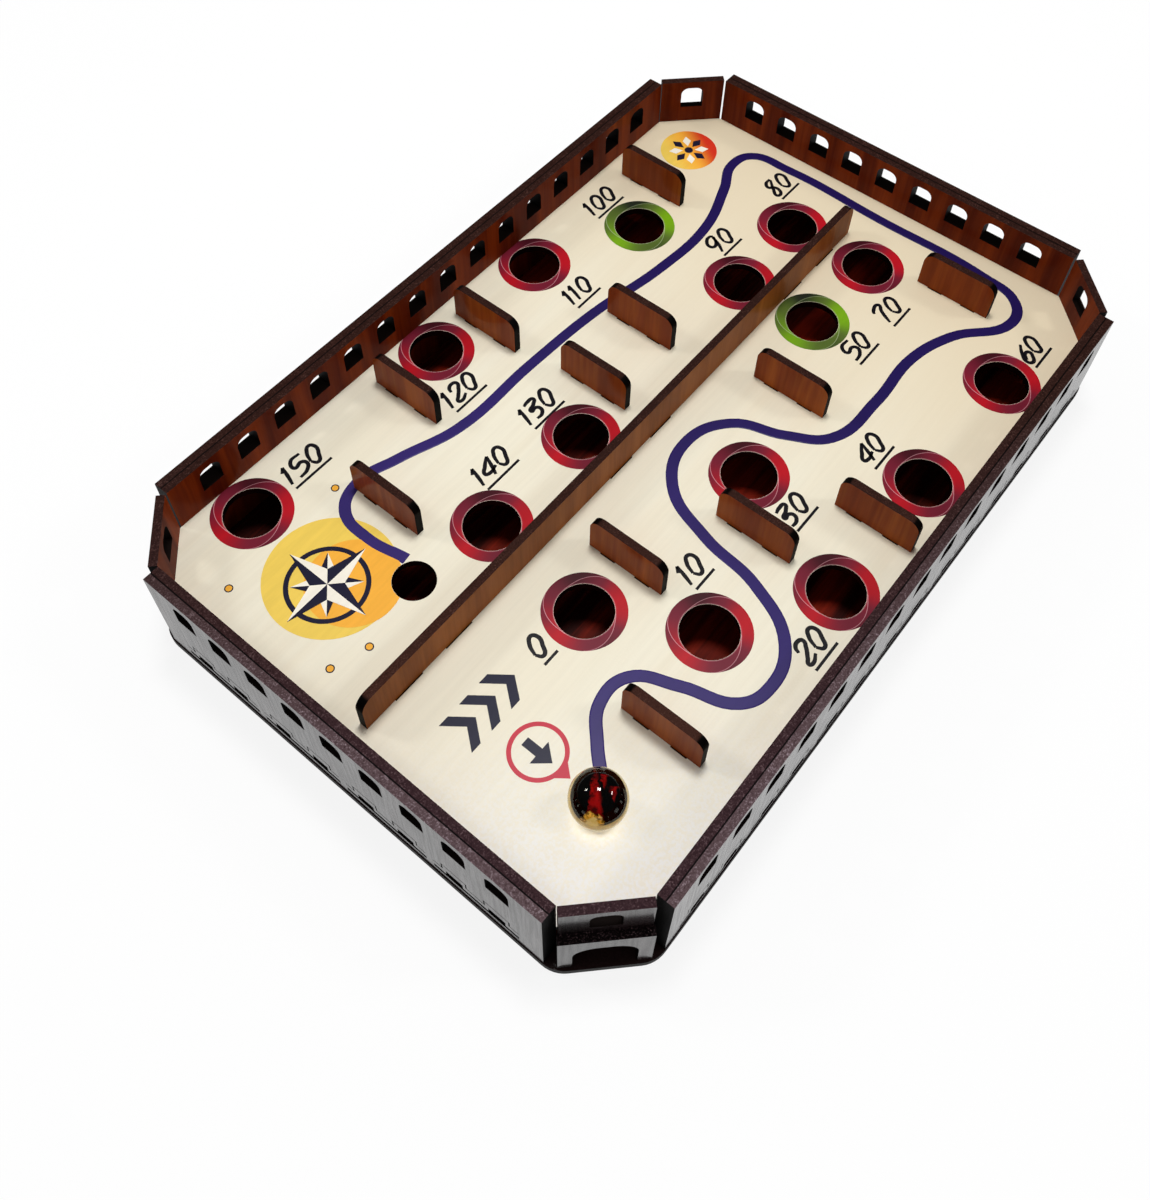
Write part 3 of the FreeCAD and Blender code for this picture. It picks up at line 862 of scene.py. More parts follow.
def cut_by_finish_hole(mesh, name):
    """Cut the finish hole out of a print that runs over it."""
    centre = hole_centre("finish_hole")
    low, high = OPENINGS["finish_hole"]
    # The opening is a square whose corners lie a little inside the round hole
    radius = (high[0] - low[0]) / 2 * math.sqrt(2) + FINISH_HOLE_MARGIN
    cutter = bmesh.new()
    bmesh.ops.create_cone(
        cutter, cap_ends=True, segments=ROUND_STEPS, radius1=radius, radius2=radius, depth=0.01,
    )
    move(cutter, centre.x, centre.y, DECK_TOP)
    tool = scratch_object(name + "_cutter", mesh_from(cutter, name + "_cutter"))
    holder = scratch_object(name + "_holder", mesh)
    cut = holder.modifiers.new("finish_hole", "BOOLEAN")
    cut.operation = "DIFFERENCE"
    cut.solver = "EXACT"
    cut.object = tool
    result = mesh_of_object(holder)
    bpy.data.objects.remove(tool)
    return result


class MAZE_OT_finish_walls(bpy.types.Operator):
    """Varnish the walls, the corner panels and the corner skirts"""

    bl_idname = "maze.finish_walls"
    bl_label = "Finish Walls"

    def execute(self, context):
        for kind in ("long_wall", "short_wall", "corner_panel", "corner_skirt"):
            for name in nodes_named(kind):
                self.finish_sheet(name)
        return {"FINISHED"}

    def outward(self, name):
        """Direction in which the sheet faces out of the game."""
        low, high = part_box(name)
        middle = (low + high) / 2
        end = ALONG * math.copysign(1.0, middle.x)
        side = ACROSS * math.copysign(1.0, middle.y)
        if "corner" in name:
            return (end + side) * CORNER_SHARE
        return side if "long" in name else end

    def glue_plane(self, name, axis):
        """Distance along the axis to the plane where a wall's two layers are glued."""
        inner = name.replace("outer", "inner")
        return max(corner.dot(axis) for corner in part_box(inner))

    def edge_look(self, name):
        """Look of the upward edge where it is near the start corner."""
        colours = varnish()
        if "skirt" in name:
            return EdgeLook(colours.edge_skirt, colours.speck_dull)
        if name.endswith("outer"):
            return EdgeLook(colours.edge_outer, colours.speck_pale)
        return EdgeLook(colours.edge_inner, colours.speck_dull)

    def finish_sheet(self, name):
        """Varnish one sheet, darker and glossier where it faces outwards."""
        colours = varnish()
        axis = self.outward(name)
        front = FaceLook(colours.outer_light, colours.outer_dark, OUTER_GLOSS)
        back = FaceLook(colours.inner_light, colours.inner_dark, INNER_GLOSS)
        coat = INNER_COAT if name.endswith("inner") else OUTER_COAT
        seam = self.glue_plane(name, axis) if "wall" in name else 1.0
        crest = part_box(name)[1].z
        material = board_material(
            name + "_varnish", crest, axis, front, back, self.edge_look(name), coat, seam
        )
        coat_node(name, material)


class MAZE_OT_finish_barriers(bpy.types.Operator):
    """Varnish the barriers and the divider between the lanes"""

    bl_idname = "maze.finish_barriers"
    bl_label = "Finish Barriers"

    def execute(self, context):
        colours = varnish()
        barrier = FaceLook(colours.barrier_light, colours.barrier_dark, BARRIER_GLOSS)
        divider = FaceLook(colours.divider_light, colours.divider_dark, DIVIDER_GLOSS)
        barrier_varnish = self.strip_varnish("barrier_varnish", ALONG, barrier)
        for name in nodes_named("barrier"):
            coat_node(name, barrier_varnish)
        coat_node("center_divider", self.strip_varnish("divider_varnish", ACROSS, divider))
        return {"FINISHED"}

    def strip_varnish(self, name, axis, look):
        """Varnish of a strip with both its faces alike."""
        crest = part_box("center_divider")[1].z
        edge = EdgeLook(varnish().edge_brown, varnish().speck_brown)
        return board_material(name, crest, axis, look, look, edge, STRIP_COAT, foot=DECK_TOP)


class MAZE_OT_finish_base(bpy.types.Operator):
    """Varnish the base plate"""

    bl_idname = "maze.finish_base"
    bl_label = "Finish Base"

    def execute(self, context):
        colours = varnish()
        material, wiring, shader = new_material("base_varnish")
        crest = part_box("base_plate")[1].z
        masks = wiring.effect("sheet_masks", Face_Axis=UP, Crest=crest)
        inside = self.grain(wiring, colours.base_light, colours.base_dark)
        under = self.grain(wiring, colours.inner_light, colours.inner_dark)
        stained = wiring.effect("cut_edge", Ground=colours.base_rim, Speck=colours.edge_inner)
        upper = wiring.blend(self.rim_mask(wiring), inside, stained["Color"])
        faces = wiring.blend(masks["Crown"], under, upper)
        wiring.fill(
            shader, Base_Color=wiring.blend(masks["Face"], colours.char, faces),
            Coat_Weight=wiring.math("MULTIPLY", masks["Face"], BASE_GLOSS),
            Normal=wiring.bump(stained["Height"], *STAIN_BUMP), **BASE_SURFACE,
        )
        coat_node("base_plate", material)
        return {"FINISHED"}

    def grain(self, wiring, light, dark):
        """Grain that runs along the game."""
        return wiring.effect("veneer_grain", Stretch=BASE_GRAIN, Light=light, Dark=dark)["Color"]

    def rim_mask(self, wiring):
        """One on the part of the plate that lies under the walls and outside them."""
        place = wiring.vector("ABSOLUTE", wiring.place())
        past = -1.0
        for direction, reach in (
            (ALONG, FIELD_HALF_LENGTH), (ACROSS, FIELD_HALF_WIDTH),
            (-TO_START_CORNER, FIELD_HALF_DIAGONAL),
        ):
            outside = wiring.math("SUBTRACT", wiring.dot(place, direction), reach)
            past = wiring.math("MAXIMUM", past, outside)
        return wiring.step(past, -0.4 * MM, 0.4 * MM)


class MAZE_OT_finish_deck(bpy.types.Operator):
    """Face the deck with pale birch under a painted sheen and painted shade, and blacken its cut
    edges with charring and painted shade
    """

    bl_idname = "maze.finish_deck"
    bl_label = "Finish Deck"

    def execute(self, context):
        colours = paints()
        material, wiring, shader = new_material("birch_deck")
        masks = wiring.effect("sheet_masks", Face_Axis=UP, Crest=DECK_TOP)
        grain = wiring.effect(
            "veneer_grain", Stretch=BIRCH_GRAIN, Pores=0.035,
            Light=colours.birch_light, Dark=colours.birch_dark,
        )
        peel_and_glints = wiring.noise(wiring.place(), PEEL_SCALE, 2.0, 0.5)
        # Painted highlight: the sheet is painted palest in the start corner, where the lamp's sheen
        # falls, with painted glints; painted shade makes it yellowest at the far end
        pale = wiring.step(wiring.dot(wiring.place(), TO_START_CORNER), 0.09, 0.15)
        pale = wiring.math("MULTIPLY", pale, wiring.step(peel_and_glints, 0.35, 0.65, 0.35, 1.0))
        birch = wiring.blend(pale, grain["Color"], colours.birch_pale)
        warm = wiring.step(wiring.dot(wiring.place(), ALONG), -0.02, 0.13, 0.0, 0.9)
        birch = wiring.blend(warm, birch, colours.birch_far)
        under = wiring.blend(masks["Face"], varnish().char, varnish().deck_under)
        wiring.fill(
            shader, Base_Color=wiring.blend(masks["Top"], under, birch),
            Normal=wiring.bump(peel_and_glints, *PEEL_BUMP), **SATIN,
        )
        coat_node("play_deck", material)
        return {"FINISHED"}


class MAZE_OT_print_rings(bpy.types.Operator):
    """Print a shaded ring round each scoring hole"""

    bl_idname = "maze.print_rings"
    bl_label = "Print Rings"

    def execute(self, context):
        inks = {colour: self.ring_ink(colour) for colour in ("red", "green")}
        outside = sizes().ring_outside
        for score in NUMBER_OFFSETS:
            name = f"ring_{score:03d}"
            centre = score_centre(score)
            shape = ring_shape(centre, sizes().ring_inside, outside)
            cut_at_walls(shape)
            mesh = mesh_from(shape, name)
            flat_uv(mesh, centre, outside)
            add_piece(name, mesh, inks["green" if score in GREEN_SCORES else "red"])
        return {"FINISHED"}

    def ring_ink(self, colour):
        """Ink of a ring in three tones of one colour, with paler lines."""
        tones = {
            part.capitalize(): getattr(paints(), f"{colour}_{part}")
            for part in ("bright", "middle", "dark", "line")
        }
        outside = sizes().ring_outside
        inside_share = sizes().ring_inside / outside
        line_share = sizes().ring_line / 2 / outside

        def shade(wiring):
            ring = wiring.effect(
                "ring_print", Inside_Share=inside_share, Line_Share=line_share, **tones
            )
            return ring["Color"]

        return ink_material(f"{colour}_ring", shade, bumpy=False)


# The track lies over the finish disc and its glow, which are layers 1 and 2
TRACK_LAYER = 3


class MAZE_OT_print_track(bpy.types.Operator):
    """Print the line that leads from the start to the finish hole"""

    bl_idname = "maze.print_track"
    bl_label = "Print Track"

    def execute(self, context):
        points = [(x * MM, y * MM, 0.0) for x, y in TRACK_POINTS]
        ink = ink_material("track_ink", self.blue)
        print_strokes("track_line", [points], sizes().track_width, ink, TRACK_LAYER)
        return {"FINISHED"}

    def blue(self, wiring):
        """Blue that is painted lighter near the start as a painted sheen, and darker towards the far
        end.
        """
        far = wiring.step(wiring.dot(wiring.place(), ALONG), -0.08, 0.08)
        return wiring.blend(far, paints().track, paints().track_far)


# Width of a figure's stroke at its two ends, as a share of its full width
FIGURE_TIPS = 0.72


class MAZE_OT_print_numbers(bpy.types.Operator):
    """Print the brushed score and its underline beside each hole"""

    bl_idname = "maze.print_numbers"
    bl_label = "Print Numbers"

    def execute(self, context):
        ink = ink_material("figure_ink", paints().figure)
        for score, offset in NUMBER_OFFSETS.items():
            foot = score_centre(score) + Vector(offset) * MM
            self.print_number(score, foot, ink)
        return {"FINISHED"}

    def print_number(self, score, foot, ink):
        """Print one number with its left end and foot at the given place."""
        pen = 0.0
        strokes = []
        for figure in str(score):
            for points in FIGURE_STROKES[figure]:
                strokes.append([
                    (foot.x + (pen + x) * MM, foot.y + y * MM, 0.0) for x, y in points
                ])
            pen += FIGURE_ADVANCES[figure]
        width = sizes().figure_stroke
        print_strokes(f"score_{score:03d}", strokes, width, ink, tips=FIGURE_TIPS)
        line_y = foot.y - sizes().underline_drop
        ends = [(foot.x, line_y, 0.0), (foot.x + pen * MM, line_y, 0.0)]
        print_strokes(f"underline_{score:03d}", [ends], sizes().underline_stroke, ink)


PIN_CENTRE = Vector((-110.9, -41.7)) * MM
PIN_TIP = Vector((-111.1, -53.9)) * MM
PIN_FOOT_HALF_WIDTH = 3.0 * MM
# A little lower than the pin's ring, so that no two faces lie in one plane
PIN_FOOT_LAYER = 0.8
CHEVRON_START = Vector((-123.2, -21.0)) * MM
CHEVRON_PITCH = 8.6 * MM
CHEVRON_COUNT = 3


class MAZE_OT_print_start(bpy.types.Operator):
    """Print the start pin with its arrow, and the chevrons that point along the lane"""

    bl_idname = "maze.print_start"
    bl_label = "Print Start"

    def execute(self, context):
        self.print_pin(ink_material("pin_ink", paints().pin))
        dark_ink = ink_material("start_ink", paints().navy)
        self.print_arrow(dark_ink)
        self.print_chevrons(dark_ink)
        return {"FINISHED"}

    def print_pin(self, ink):
        """Ring with a pointed foot."""
        outside = sizes().pin_radius
        half = PIN_FOOT_HALF_WIDTH
        ring = ring_shape(PIN_CENTRE, outside - sizes().pin_band, outside)
        print_shape("start_pin_ring", ring, ink)
        shoulder = PIN_CENTRE.y - math.sqrt(outside ** 2 - half ** 2)
        outline = [(PIN_CENTRE.x - half, shoulder), PIN_TIP, (PIN_CENTRE.x + half, shoulder)]
        print_shape("start_pin_foot", patch_shape(outline, PIN_FOOT_LAYER), ink)

    def print_arrow(self, ink):
        """Plain arrow inside the pin, towards the marble."""
        half_head = 4.2 * MM
        half_stem = 1.5 * MM
        tail = 5.0 * MM
        neck = -0.4 * MM
        tip = -5.4 * MM
        outline = [
            (PIN_CENTRE.x + x, PIN_CENTRE.y + y)
            for x, y in (
                (-half_stem, tail), (-half_stem, neck), (-half_head, neck), (0.0, tip),
                (half_head, neck), (half_stem, neck), (half_stem, tail),
            )
        ]
        print_shape("start_arrow", patch_shape(outline), ink)

    def print_chevrons(self, ink):
        """Row of bold chevrons."""
        half_height = 6.4 * MM
        reach = 5.0 * MM
        thick = 3.8 * MM
        for number in range(CHEVRON_COUNT):
            x = CHEVRON_START.x + number * CHEVRON_PITCH
            y = CHEVRON_START.y
            outline = [
                (x, y + half_height), (x + thick, y + half_height), (x + thick + reach, y),
                (x + thick, y - half_height), (x, y - half_height), (x + reach, y),
            ]
            print_shape(f"start_chevron_{number + 1}", patch_shape(outline), ink)


FINISH_DISC_CENTRE = Vector((-108.6, 44.7)) * MM
COMPASS_CENTRE = Vector((-111.2, 43.6)) * MM
COMPASS_RING = (12.0 * MM, 13.6 * MM)
# The compass's two stars: reach and waist of their rays, how far they are turned, and the layer
COMPASS_STARS = (
    ("compass_short", 11.4 * MM, 4.4 * MM, math.pi / 4, 4),
    ("compass_long", 16.8 * MM, 5.4 * MM, 0.0, 5),
)
GLOW_CENTRE = Vector((-105.5, 37.8)) * MM
GLOW_RADIUS = 15.5 * MM
TURN_DISC_CENTRE = Vector((120.6, 75.0)) * MM

LOOSE_DOTS = ((-130.5, 22.5), (-84.6, 67.4), (-131.5, 66.0), (-118.0, 18.6))
DOT_RADIUS = 1.1 * MM
DOT_RIM = (1.05 * MM, 1.4 * MM)

# Rosette of petals in the far corner, as distances from its middle
PETAL_COUNT = 8
PETAL_ROOT = 2.4 * MM
PETAL_MIDDLE = 5.4 * MM
PETAL_TIP = 8.0 * MM
PETAL_HALF_WIDTH = 1.7 * MM
EYE_RADIUS = 1.7 * MM


class MAZE_OT_print_discs(bpy.types.Operator):
    """Print the compass disc beside the finish and the rosette disc in the far corner"""

    bl_idname = "maze.print_discs"
    bl_label = "Print Discs"

    def execute(self, context):
        self.inks = {
            colour: ink_material(f"{colour}_ink", getattr(paints(), colour))
            for colour in ("navy", "cream", "orange", "yellow")
        }
        self.print_finish_disc()
        self.print_compass()
        self.print_dots()
        self.print_turn_disc()
        self.print_rosette()
        return {"FINISHED"}

    def print_finish_disc(self):
        """Yellow disc with an orange glow, both cut by the finish hole."""
        for name, centre, radius, layer, colour in (
            ("finish_disc", FINISH_DISC_CENTRE, sizes().finish_disc, 1, "yellow"),
            ("finish_glow", GLOW_CENTRE, GLOW_RADIUS, 2, "orange"),
        ):
            mesh = mesh_from(disc_shape(centre, radius, layer), name + "_whole")
            add_piece(name, cut_by_finish_hole(mesh, name), self.inks[colour])

    def print_compass(self):
        """Eight-pointed compass star, each ray half dark and half light."""
        for name, reach, waist, turn, layer in COMPASS_STARS:
            for half, angle, colour in (
                ("dark", math.pi / 4, "navy"), ("light", -math.pi / 4, "cream"),
            ):
                waist_point = (waist * math.cos(angle), waist * math.sin(angle))
                outline = [(0.0, 0.0), (reach, 0.0), waist_point]
                print_shape(f"{name}_{half}", self.rays(outline, turn, layer), self.inks[colour])
        ring = ring_shape(COMPASS_CENTRE, *COMPASS_RING, 3)
        print_shape("compass_ring", ring, self.inks["navy"])

    def rays(self, outline, turn, layer):
        """Four copies of a ray round the middle of the compass."""
        shape = patch_shape(outline, layer)
        bmesh.ops.spin(
            shape, geom=all_parts(shape), cent=(0.0, 0.0, 0.0), axis=UP, dvec=(0.0, 0.0, 0.0),
            angle=1.5 * math.pi, steps=3, use_merge=False, use_duplicate=True,
        )
        bmesh.ops.rotate(
            shape, verts=shape.verts, cent=(0.0, 0.0, 0.0), matrix=Matrix.Rotation(turn, 3, "Z"),
        )
        move(shape, COMPASS_CENTRE.x, COMPASS_CENTRE.y, 0.0)
        return shape

    def print_dots(self):
        """Small orange dots with dark rims round the disc."""
        for number, place in enumerate(LOOSE_DOTS, start=1):
            centre = Vector(place) * MM
            dot = disc_shape(centre, DOT_RADIUS)
            print_shape(f"loose_dot_{number}", dot, self.inks["orange"])
            rim = ring_shape(centre, *DOT_RIM, 2)
            print_shape(f"loose_dot_rim_{number}", rim, self.inks["navy"])

    def print_turn_disc(self):
        """Disc shaded from yellow to red."""
        radius = sizes().turn_disc
        mesh = mesh_from(disc_shape(TURN_DISC_CENTRE, radius), "turn_disc")
        flat_uv(mesh, TURN_DISC_CENTRE, radius)
        add_piece("turn_disc", mesh, ink_material("turn_ink", self.sunset, bumpy=False))

    def sunset(self, wiring):
        """Shade that goes from yellow over orange to red."""
        slope = wiring.dot(wiring.place("UV"), (0.75, -0.45, 0.0))
        warm = wiring.step(slope, -0.25, 0.2)
        hot = wiring.step(slope, 0.1, 0.5)
        return wiring.blend(hot, wiring.blend(warm, paints().yellow, paints().orange), paints().red)

    def print_rosette(self):
        """Petals round a dark eye, by turns dark and light."""
        for number in range(PETAL_COUNT):
            angle = 2 * math.pi * number / PETAL_COUNT
            towards = Vector((math.cos(angle), math.sin(angle)))
            across = Vector((-towards.y, towards.x)) * PETAL_HALF_WIDTH
            middle = TURN_DISC_CENTRE + towards * PETAL_MIDDLE
            outline = [
                TURN_DISC_CENTRE + towards * PETAL_ROOT, middle - across,
                TURN_DISC_CENTRE + towards * PETAL_TIP, middle + across,
            ]
            ink = self.inks["cream" if number % 2 else "navy"]
            print_shape(f"rosette_petal_{number + 1}", patch_shape(outline, 2), ink)
        eye = disc_shape(TURN_DISC_CENTRE, EYE_RADIUS, 2)
        print_shape("rosette_eye", eye, self.inks["navy"])


# How the swirl lies at rest: the side that shows its flames, and the way that they rise
SWIRL_FRONT = Vector((-0.278, -0.195, 0.941))
SWIRL_RISE = Vector((0.794, 0.504, 0.339))

# The swirl's body bulges in lobes that twist round it, by a share of its radius
LOBE_COUNT = 3
LOBE_TWIST = 2.5
LOBE_HEIGHT = 0.02

# Tongues of colour on the swirl, in shares of its radius: place and height of the foot, place
# and height of the tip, and half width at the foot
FLAME_TONGUES = (
    (-0.06, -0.80, -0.28, 1.25, 0.42),
    (0.58, 0.48, 0.72, -0.20, 0.26),
    (0.14, 0.90, 0.22, 0.28, 0.22),
)
EMBER_TONGUES = (
    (-0.22, -1.04, -0.30, -0.60, 0.54),
    (0.08, -1.04, 0.10, -0.66, 0.34),
)
# Painted light: a cream patch at the foot stands in for light that the glass focuses there
FOCUSED_GLOW_TONGUES = (
    (-0.16, -1.06, -0.14, -0.80, 0.48),
)
# How a tongue narrows towards its tip, and how wide its soft border is
TONGUE_TAPER = 0.7
TONGUE_BORDER = 0.14

GLASS_IOR = 1.43


class MAZE_OT_make_marble(bpy.types.Operator):
    """Make the glass marble and the swirl inside it"""

    bl_idname = "maze.make_marble"
    bl_label = "Make Marble"

    def execute(self, context):
        self.looks = context.scene.maze_marble
        self.make_glass()
        self.make_core()
        return {"FINISHED"}

    def make_glass(self):
        """Clear ball of glass."""
        shape = bmesh.new()
        bmesh.ops.create_uvsphere(shape, u_segments=128, v_segments=64, radius=MARBLE_RADIUS)
        move(shape, *MARBLE_CENTRE)
        material, wiring, shader = new_material("marble_clear_glass")
        haze = wiring.noise(wiring.place(), HAZE_SCALE)
        cloud = wiring.step(haze, 0.35, 0.65, 0.7, 1.0)
        wiring.fill(
            shader, Base_Color=wiring.blend(cloud, WHITE, self.looks.glass),
            Roughness=wiring.step(haze, 0.3, 0.7, 0.0, 0.012), Transmission_Weight=1.0,
            IOR=GLASS_IOR, Specular_IOR_Level=0.25,
        )
        mesh = mesh_from(shape, "marble_ball", smooth=True)
        ball = add_piece("marble_ball", mesh, material, "marble")
        # Lamp light goes through clear glass, so only the dark core shades the deck
        ball.visible_shadow = False
        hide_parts("marble_glass")

    def make_core(self):
        """Dark body of the swirl, a little lobed, with flames and embers in its colour."""
        shape = bmesh.new()
        radius = self.looks.core_radius
        bmesh.ops.create_icosphere(shape, subdivisions=5, radius=radius)
        for vert in shape.verts:
            way = vert.co.normalized()
            lobes = math.sin(LOBE_COUNT * math.atan2(way.y, way.x) + LOBE_TWIST * way.z)
            vert.co = vert.co * (1 + LOBE_HEIGHT * lobes * (1 - way.z ** 2))
        middle = MARBLE_CENTRE + SWIRL_RISE * self.looks.core_lift
        move(shape, *middle)
        mesh = mesh_from(shape, "swirl_core", smooth=True)
        material = self.core_material(middle, radius)
        core = add_piece("swirl_core", mesh, material, "swirl")
        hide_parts("marble_swirl")

    def core_material(self, middle, radius):
        """Black glass with red flames that rise out of yellow embers, over a cream patch of painted
        focused light.
        """
        black = self.looks.core
        material, wiring, shader = new_material("swirl_core")
        shift = wiring.vector("SUBTRACT", wiring.place(), middle)
        place = wiring.vector("MULTIPLY", shift, (1 / radius, 1 / radius, 1 / radius))
        ripple = wiring.noise(place, 3.2, 3.0, 0.6)
        side = wiring.dot(place, SWIRL_RISE.cross(SWIRL_FRONT))
        side = wiring.math("ADD", side, wiring.step(ripple, 0.3, 0.7, -0.07, 0.07))
        height = wiring.dot(place, SWIRL_RISE)
        flame = wiring.blend(wiring.step(ripple, 0.38, 0.62, 0.2, 1.0), black, self.looks.flame)
        sparks = wiring.step(wiring.noise(place, 7.0, 2.0, 0.6), 0.40, 0.58, 0.25, 1.0)
        ember = wiring.blend(sparks, black, self.looks.ember)
        colour = black
        for tongues, paint in (
            (FLAME_TONGUES, flame), (EMBER_TONGUES, ember), (FOCUSED_GLOW_TONGUES, self.looks.ash),
        ):
            mask = self.tongue_mask(wiring, side, height, tongues)
            colour = wiring.blend(mask, colour, paint)
        wiring.fill(shader, Base_Color=colour, Roughness=0.6, Specular_IOR_Level=0.0)
        return material

    def tongue_mask(self, wiring, side, height, tongues):
        """Mask of tongues that taper from foot to tip."""
        mask = 0.0
        for foot_side, foot, tip_side, tip, half_width in tongues:
            share = wiring.math("DIVIDE", wiring.math("SUBTRACT", height, foot), tip - foot)
            lean = wiring.math("MULTIPLY_ADD", share, tip_side - foot_side, foot_side)
            off = wiring.math("ABSOLUTE", wiring.math("SUBTRACT", side, lean))
            left = wiring.math("MAXIMUM", wiring.math("SUBTRACT", 1.0, share), 0.0)
            half = wiring.math("MULTIPLY", wiring.math("POWER", left, TONGUE_TAPER), half_width)
            inside = wiring.step(wiring.math("SUBTRACT", half, off), 0.0, TONGUE_BORDER)
            begun = wiring.step(share, -0.06, 0.04)
            mask = wiring.math("MAXIMUM", mask, wiring.math("MULTIPLY", inside, begun))
        return mask


# Camera fitted to the photograph's straight edges, with the image 1200 pixels high
CAMERA_PLACE = (-0.21385, -0.13587, 0.37232)
CAMERA_TURN = (36.343, -0.728, -50.842)
CAMERA_LENS = 38.243
CAMERA_SHIFT = (-0.0055, -0.1502)
CAMERA_NEAR = 0.01
CAMERA_FAR = 20.0
IMAGE_RIGHT = Vector((0.54, -0.84, 0.0))
IMAGE_FAR = Vector((0.84, 0.54, 0.0))

FLOOR_DROP = 0.1 * MM
FLOOR_HALF_SIDE = 4.0
FLOOR_COLOUR = (0.82, 0.82, 0.82)
# The row of lamps hangs a little behind the middle of the game
LAMP_SETBACK = 0.15


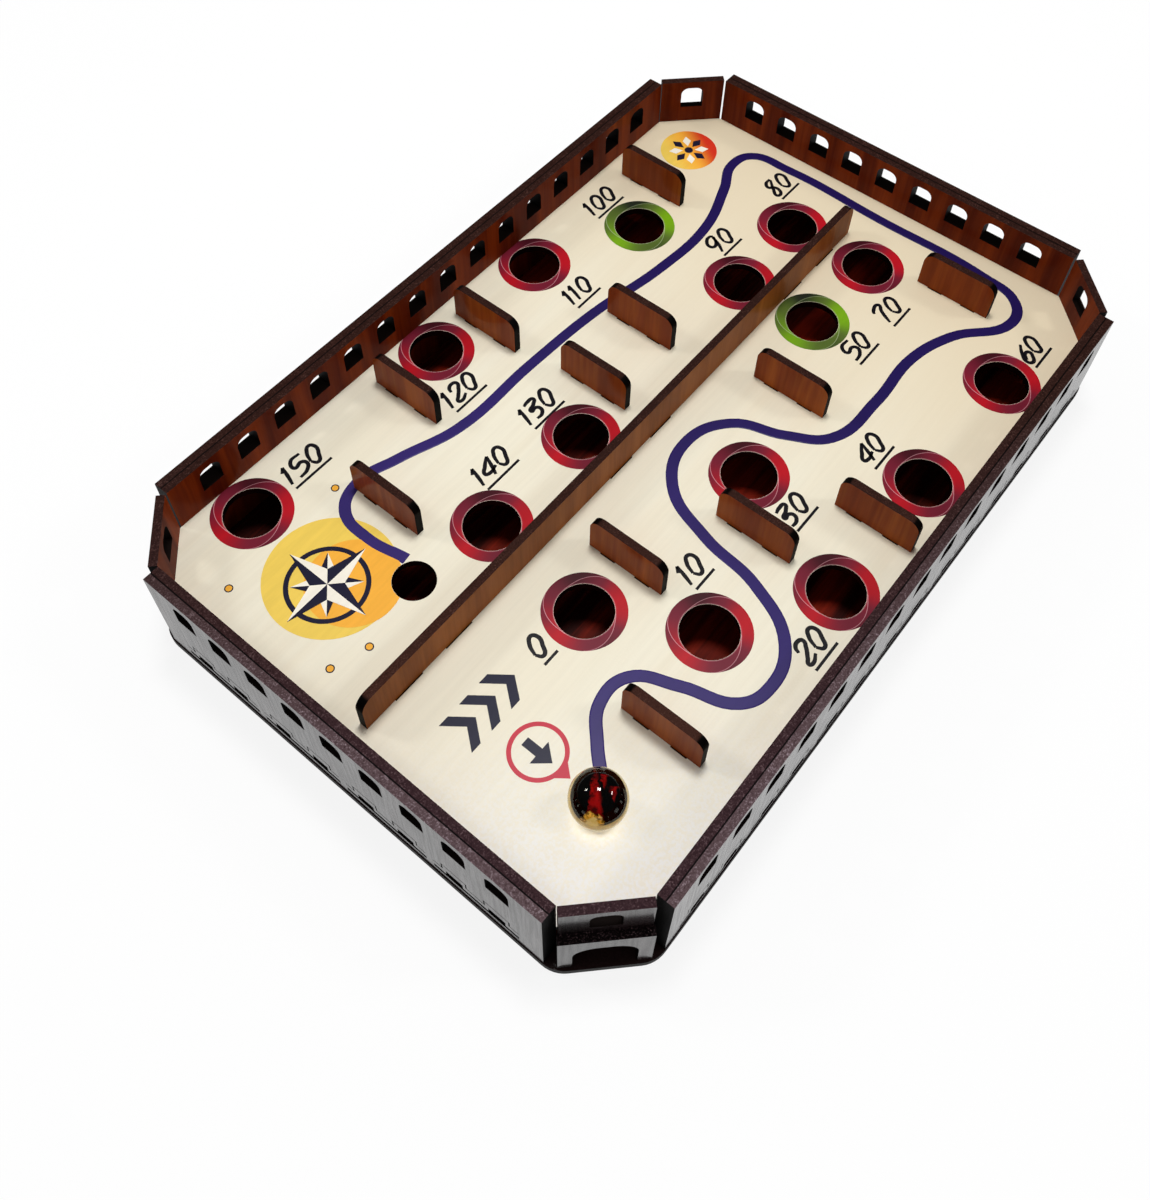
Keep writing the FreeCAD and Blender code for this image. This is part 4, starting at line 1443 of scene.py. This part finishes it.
class MAZE_OT_set_stage(bpy.types.Operator):
    """Set the floor, the row of soft lamps, the surroundings and the camera"""

    bl_idname = "maze.set_stage"
    bl_label = "Set Stage"

    def execute(self, context):
        scene = context.scene
        scene.view_settings.view_transform = "Standard"
        self.lights = scene.maze_lights
        self.lay_floor(scene)
        self.hang_lamps(scene)
        self.paint_surroundings(scene)
        self.place_camera(scene)
        return {"FINISHED"}

    def rays(self, wiring, *kinds):
        """One for rays of the given kinds, and zero for the others."""
        path = wiring.node("ShaderNodeLightPath").outputs
        flag = 0.0
        for kind in kinds:
            flag = wiring.math("MAXIMUM", flag, path[kind])
        return flag

    def lay_floor(self, scene):
        """Pale floor that shows almost white and keeps a soft shadow."""
        shape = bmesh.new()
        bmesh.ops.create_grid(shape, x_segments=8, y_segments=8, size=FLOOR_HALF_SIDE)
        move(shape, 0.0, 0.0, -FLOOR_DROP)
        mesh = bpy.data.meshes.new("floor")
        shape.to_mesh(mesh)
        shape.free()
        floor = bpy.data.objects.new("floor", mesh)
        scene.collection.objects.link(floor)

        material = bpy.data.materials.new("pale_floor")
        mesh.materials.append(material)
        wiring = bare_wiring(material)
        shade = 1.0 - self.lights.floor_glow
        plain, shaded = (
            wiring.fill(wiring.node("ShaderNodeBsdfDiffuse"), Color=colour)[0]
            for colour in (FLOOR_COLOUR, (shade, shade, shade))
        )
        glow = wiring.node("ShaderNodeEmission")
        wiring.fill(glow, Strength=self.lights.floor_glow)
        shown = wiring.fill(wiring.node("ShaderNodeAddShader"), shaded, glow.outputs[0])[0]
        # The white background shows to the camera, in reflections and through the glass
        seen = self.rays(wiring, "Is Camera Ray", "Is Glossy Ray", "Is Transmission Ray")
        choice = wiring.fill(wiring.node("ShaderNodeMixShader"), seen, plain, shown)[0]
        wiring.fill(wiring.node("ShaderNodeOutputMaterial"), Surface=choice)

    def hang_lamps(self, scene):
        """Three square lamps in a row over the game."""
        row = (("lamp_left", -1.0), ("lamp_middle", 0.0), ("lamp_right", 1.0))
        for name, side in row:
            lamp = bpy.data.lights.new(name, "AREA")
            lamp.shape = "SQUARE"
            lamp.size = self.lights.lamp_size
            lamp.energy = self.lights.side_power if side else self.lights.middle_power
            holder = bpy.data.objects.new(name, lamp)
            place = IMAGE_RIGHT * side * self.lights.lamp_spread + IMAGE_FAR * LAMP_SETBACK
            place.z = self.lights.lamp_height
            holder.location = place
            holder.rotation_euler = (-place).to_track_quat("-Z", "Y").to_euler()
            scene.collection.objects.link(holder)

    def paint_surroundings(self, scene):
        """Pale surroundings, white where they are seen, under a dimmer ceiling."""
        world = bpy.data.worlds.new("studio")
        wiring = bare_wiring(world)
        upward = wiring.dot(wiring.place("Generated"), UP)
        lighting = wiring.step(upward, 0.45, 0.85, self.lights.ambient, self.lights.overhead)
        mirrored = wiring.step(upward, 0.0, 0.16, self.lights.horizon, self.lights.ceiling)
        glossy = self.rays(wiring, "Is Glossy Ray")
        shown = self.rays(wiring, "Is Camera Ray", "Is Transmission Ray")
        strength = wiring.choose(shown, wiring.choose(glossy, lighting, mirrored), 1.0)
        background = wiring.node("ShaderNodeBackground")
        wiring.fill(background, Color=WHITE, Strength=strength)
        wiring.fill(wiring.node("ShaderNodeOutputWorld"), Surface=background.outputs[0])
        scene.world = world

    def place_camera(self, scene):
        """Camera at the photograph's place and framing."""
        camera = bpy.data.cameras.new("photo_camera")
        camera.lens = CAMERA_LENS
        camera.shift_x, camera.shift_y = CAMERA_SHIFT
        camera.clip_start = CAMERA_NEAR
        camera.clip_end = CAMERA_FAR
        holder = bpy.data.objects.new("photo_camera", camera)
        holder.location = CAMERA_PLACE
        holder.rotation_euler = [math.radians(angle) for angle in CAMERA_TURN]
        scene.collection.objects.link(holder)
        scene.camera = holder


OPERATORS = (
    MAZE_OT_finish_base,
    MAZE_OT_finish_deck,
    MAZE_OT_finish_walls,
    MAZE_OT_finish_barriers,
    MAZE_OT_print_rings,
    MAZE_OT_print_track,
    MAZE_OT_print_numbers,
    MAZE_OT_print_start,
    MAZE_OT_print_discs,
    MAZE_OT_make_marble,
    MAZE_OT_set_stage,
)

PROPERTY_GROUPS = {
    "maze_sizes": MazePrintSizes,
    "maze_varnish": MazeVarnishColours,
    "maze_deck": MazeDeckColours,
    "maze_marble": MazeMarbleLooks,
    "maze_lights": MazeStageLights,
}


class MAZE_PT_dressing(bpy.types.Panel):
    """Sizes, colours and steps of the maze's dressing"""

    bl_label = "Tilt Maze"
    bl_space_type = "VIEW_3D"
    bl_region_type = "UI"
    bl_category = "Tilt Maze"

    def draw(self, context):
        for operator in OPERATORS:
            self.layout.operator(operator.bl_idname)
        for group_name, group in PROPERTY_GROUPS.items():
            box = self.layout.box()
            box.label(text=group.__doc__)
            for name in group.__annotations__:
                box.prop(getattr(context.scene, group_name), name)


register_classes, unregister_classes = bpy.utils.register_classes_factory(
    (*PROPERTY_GROUPS.values(), *OPERATORS, MAZE_PT_dressing)
)


def register():
    register_classes()
    for group_name, group in PROPERTY_GROUPS.items():
        setattr(bpy.types.Scene, group_name, bpy.props.PointerProperty(type=group))


def unregister():
    for group_name in PROPERTY_GROUPS:
        delattr(bpy.types.Scene, group_name)
    unregister_classes()


def main():
    register()
    for operator in OPERATORS:
        space, step = operator.bl_idname.split(".")
        getattr(getattr(bpy.ops, space), step)()


if __name__ == "__main__":
    main()
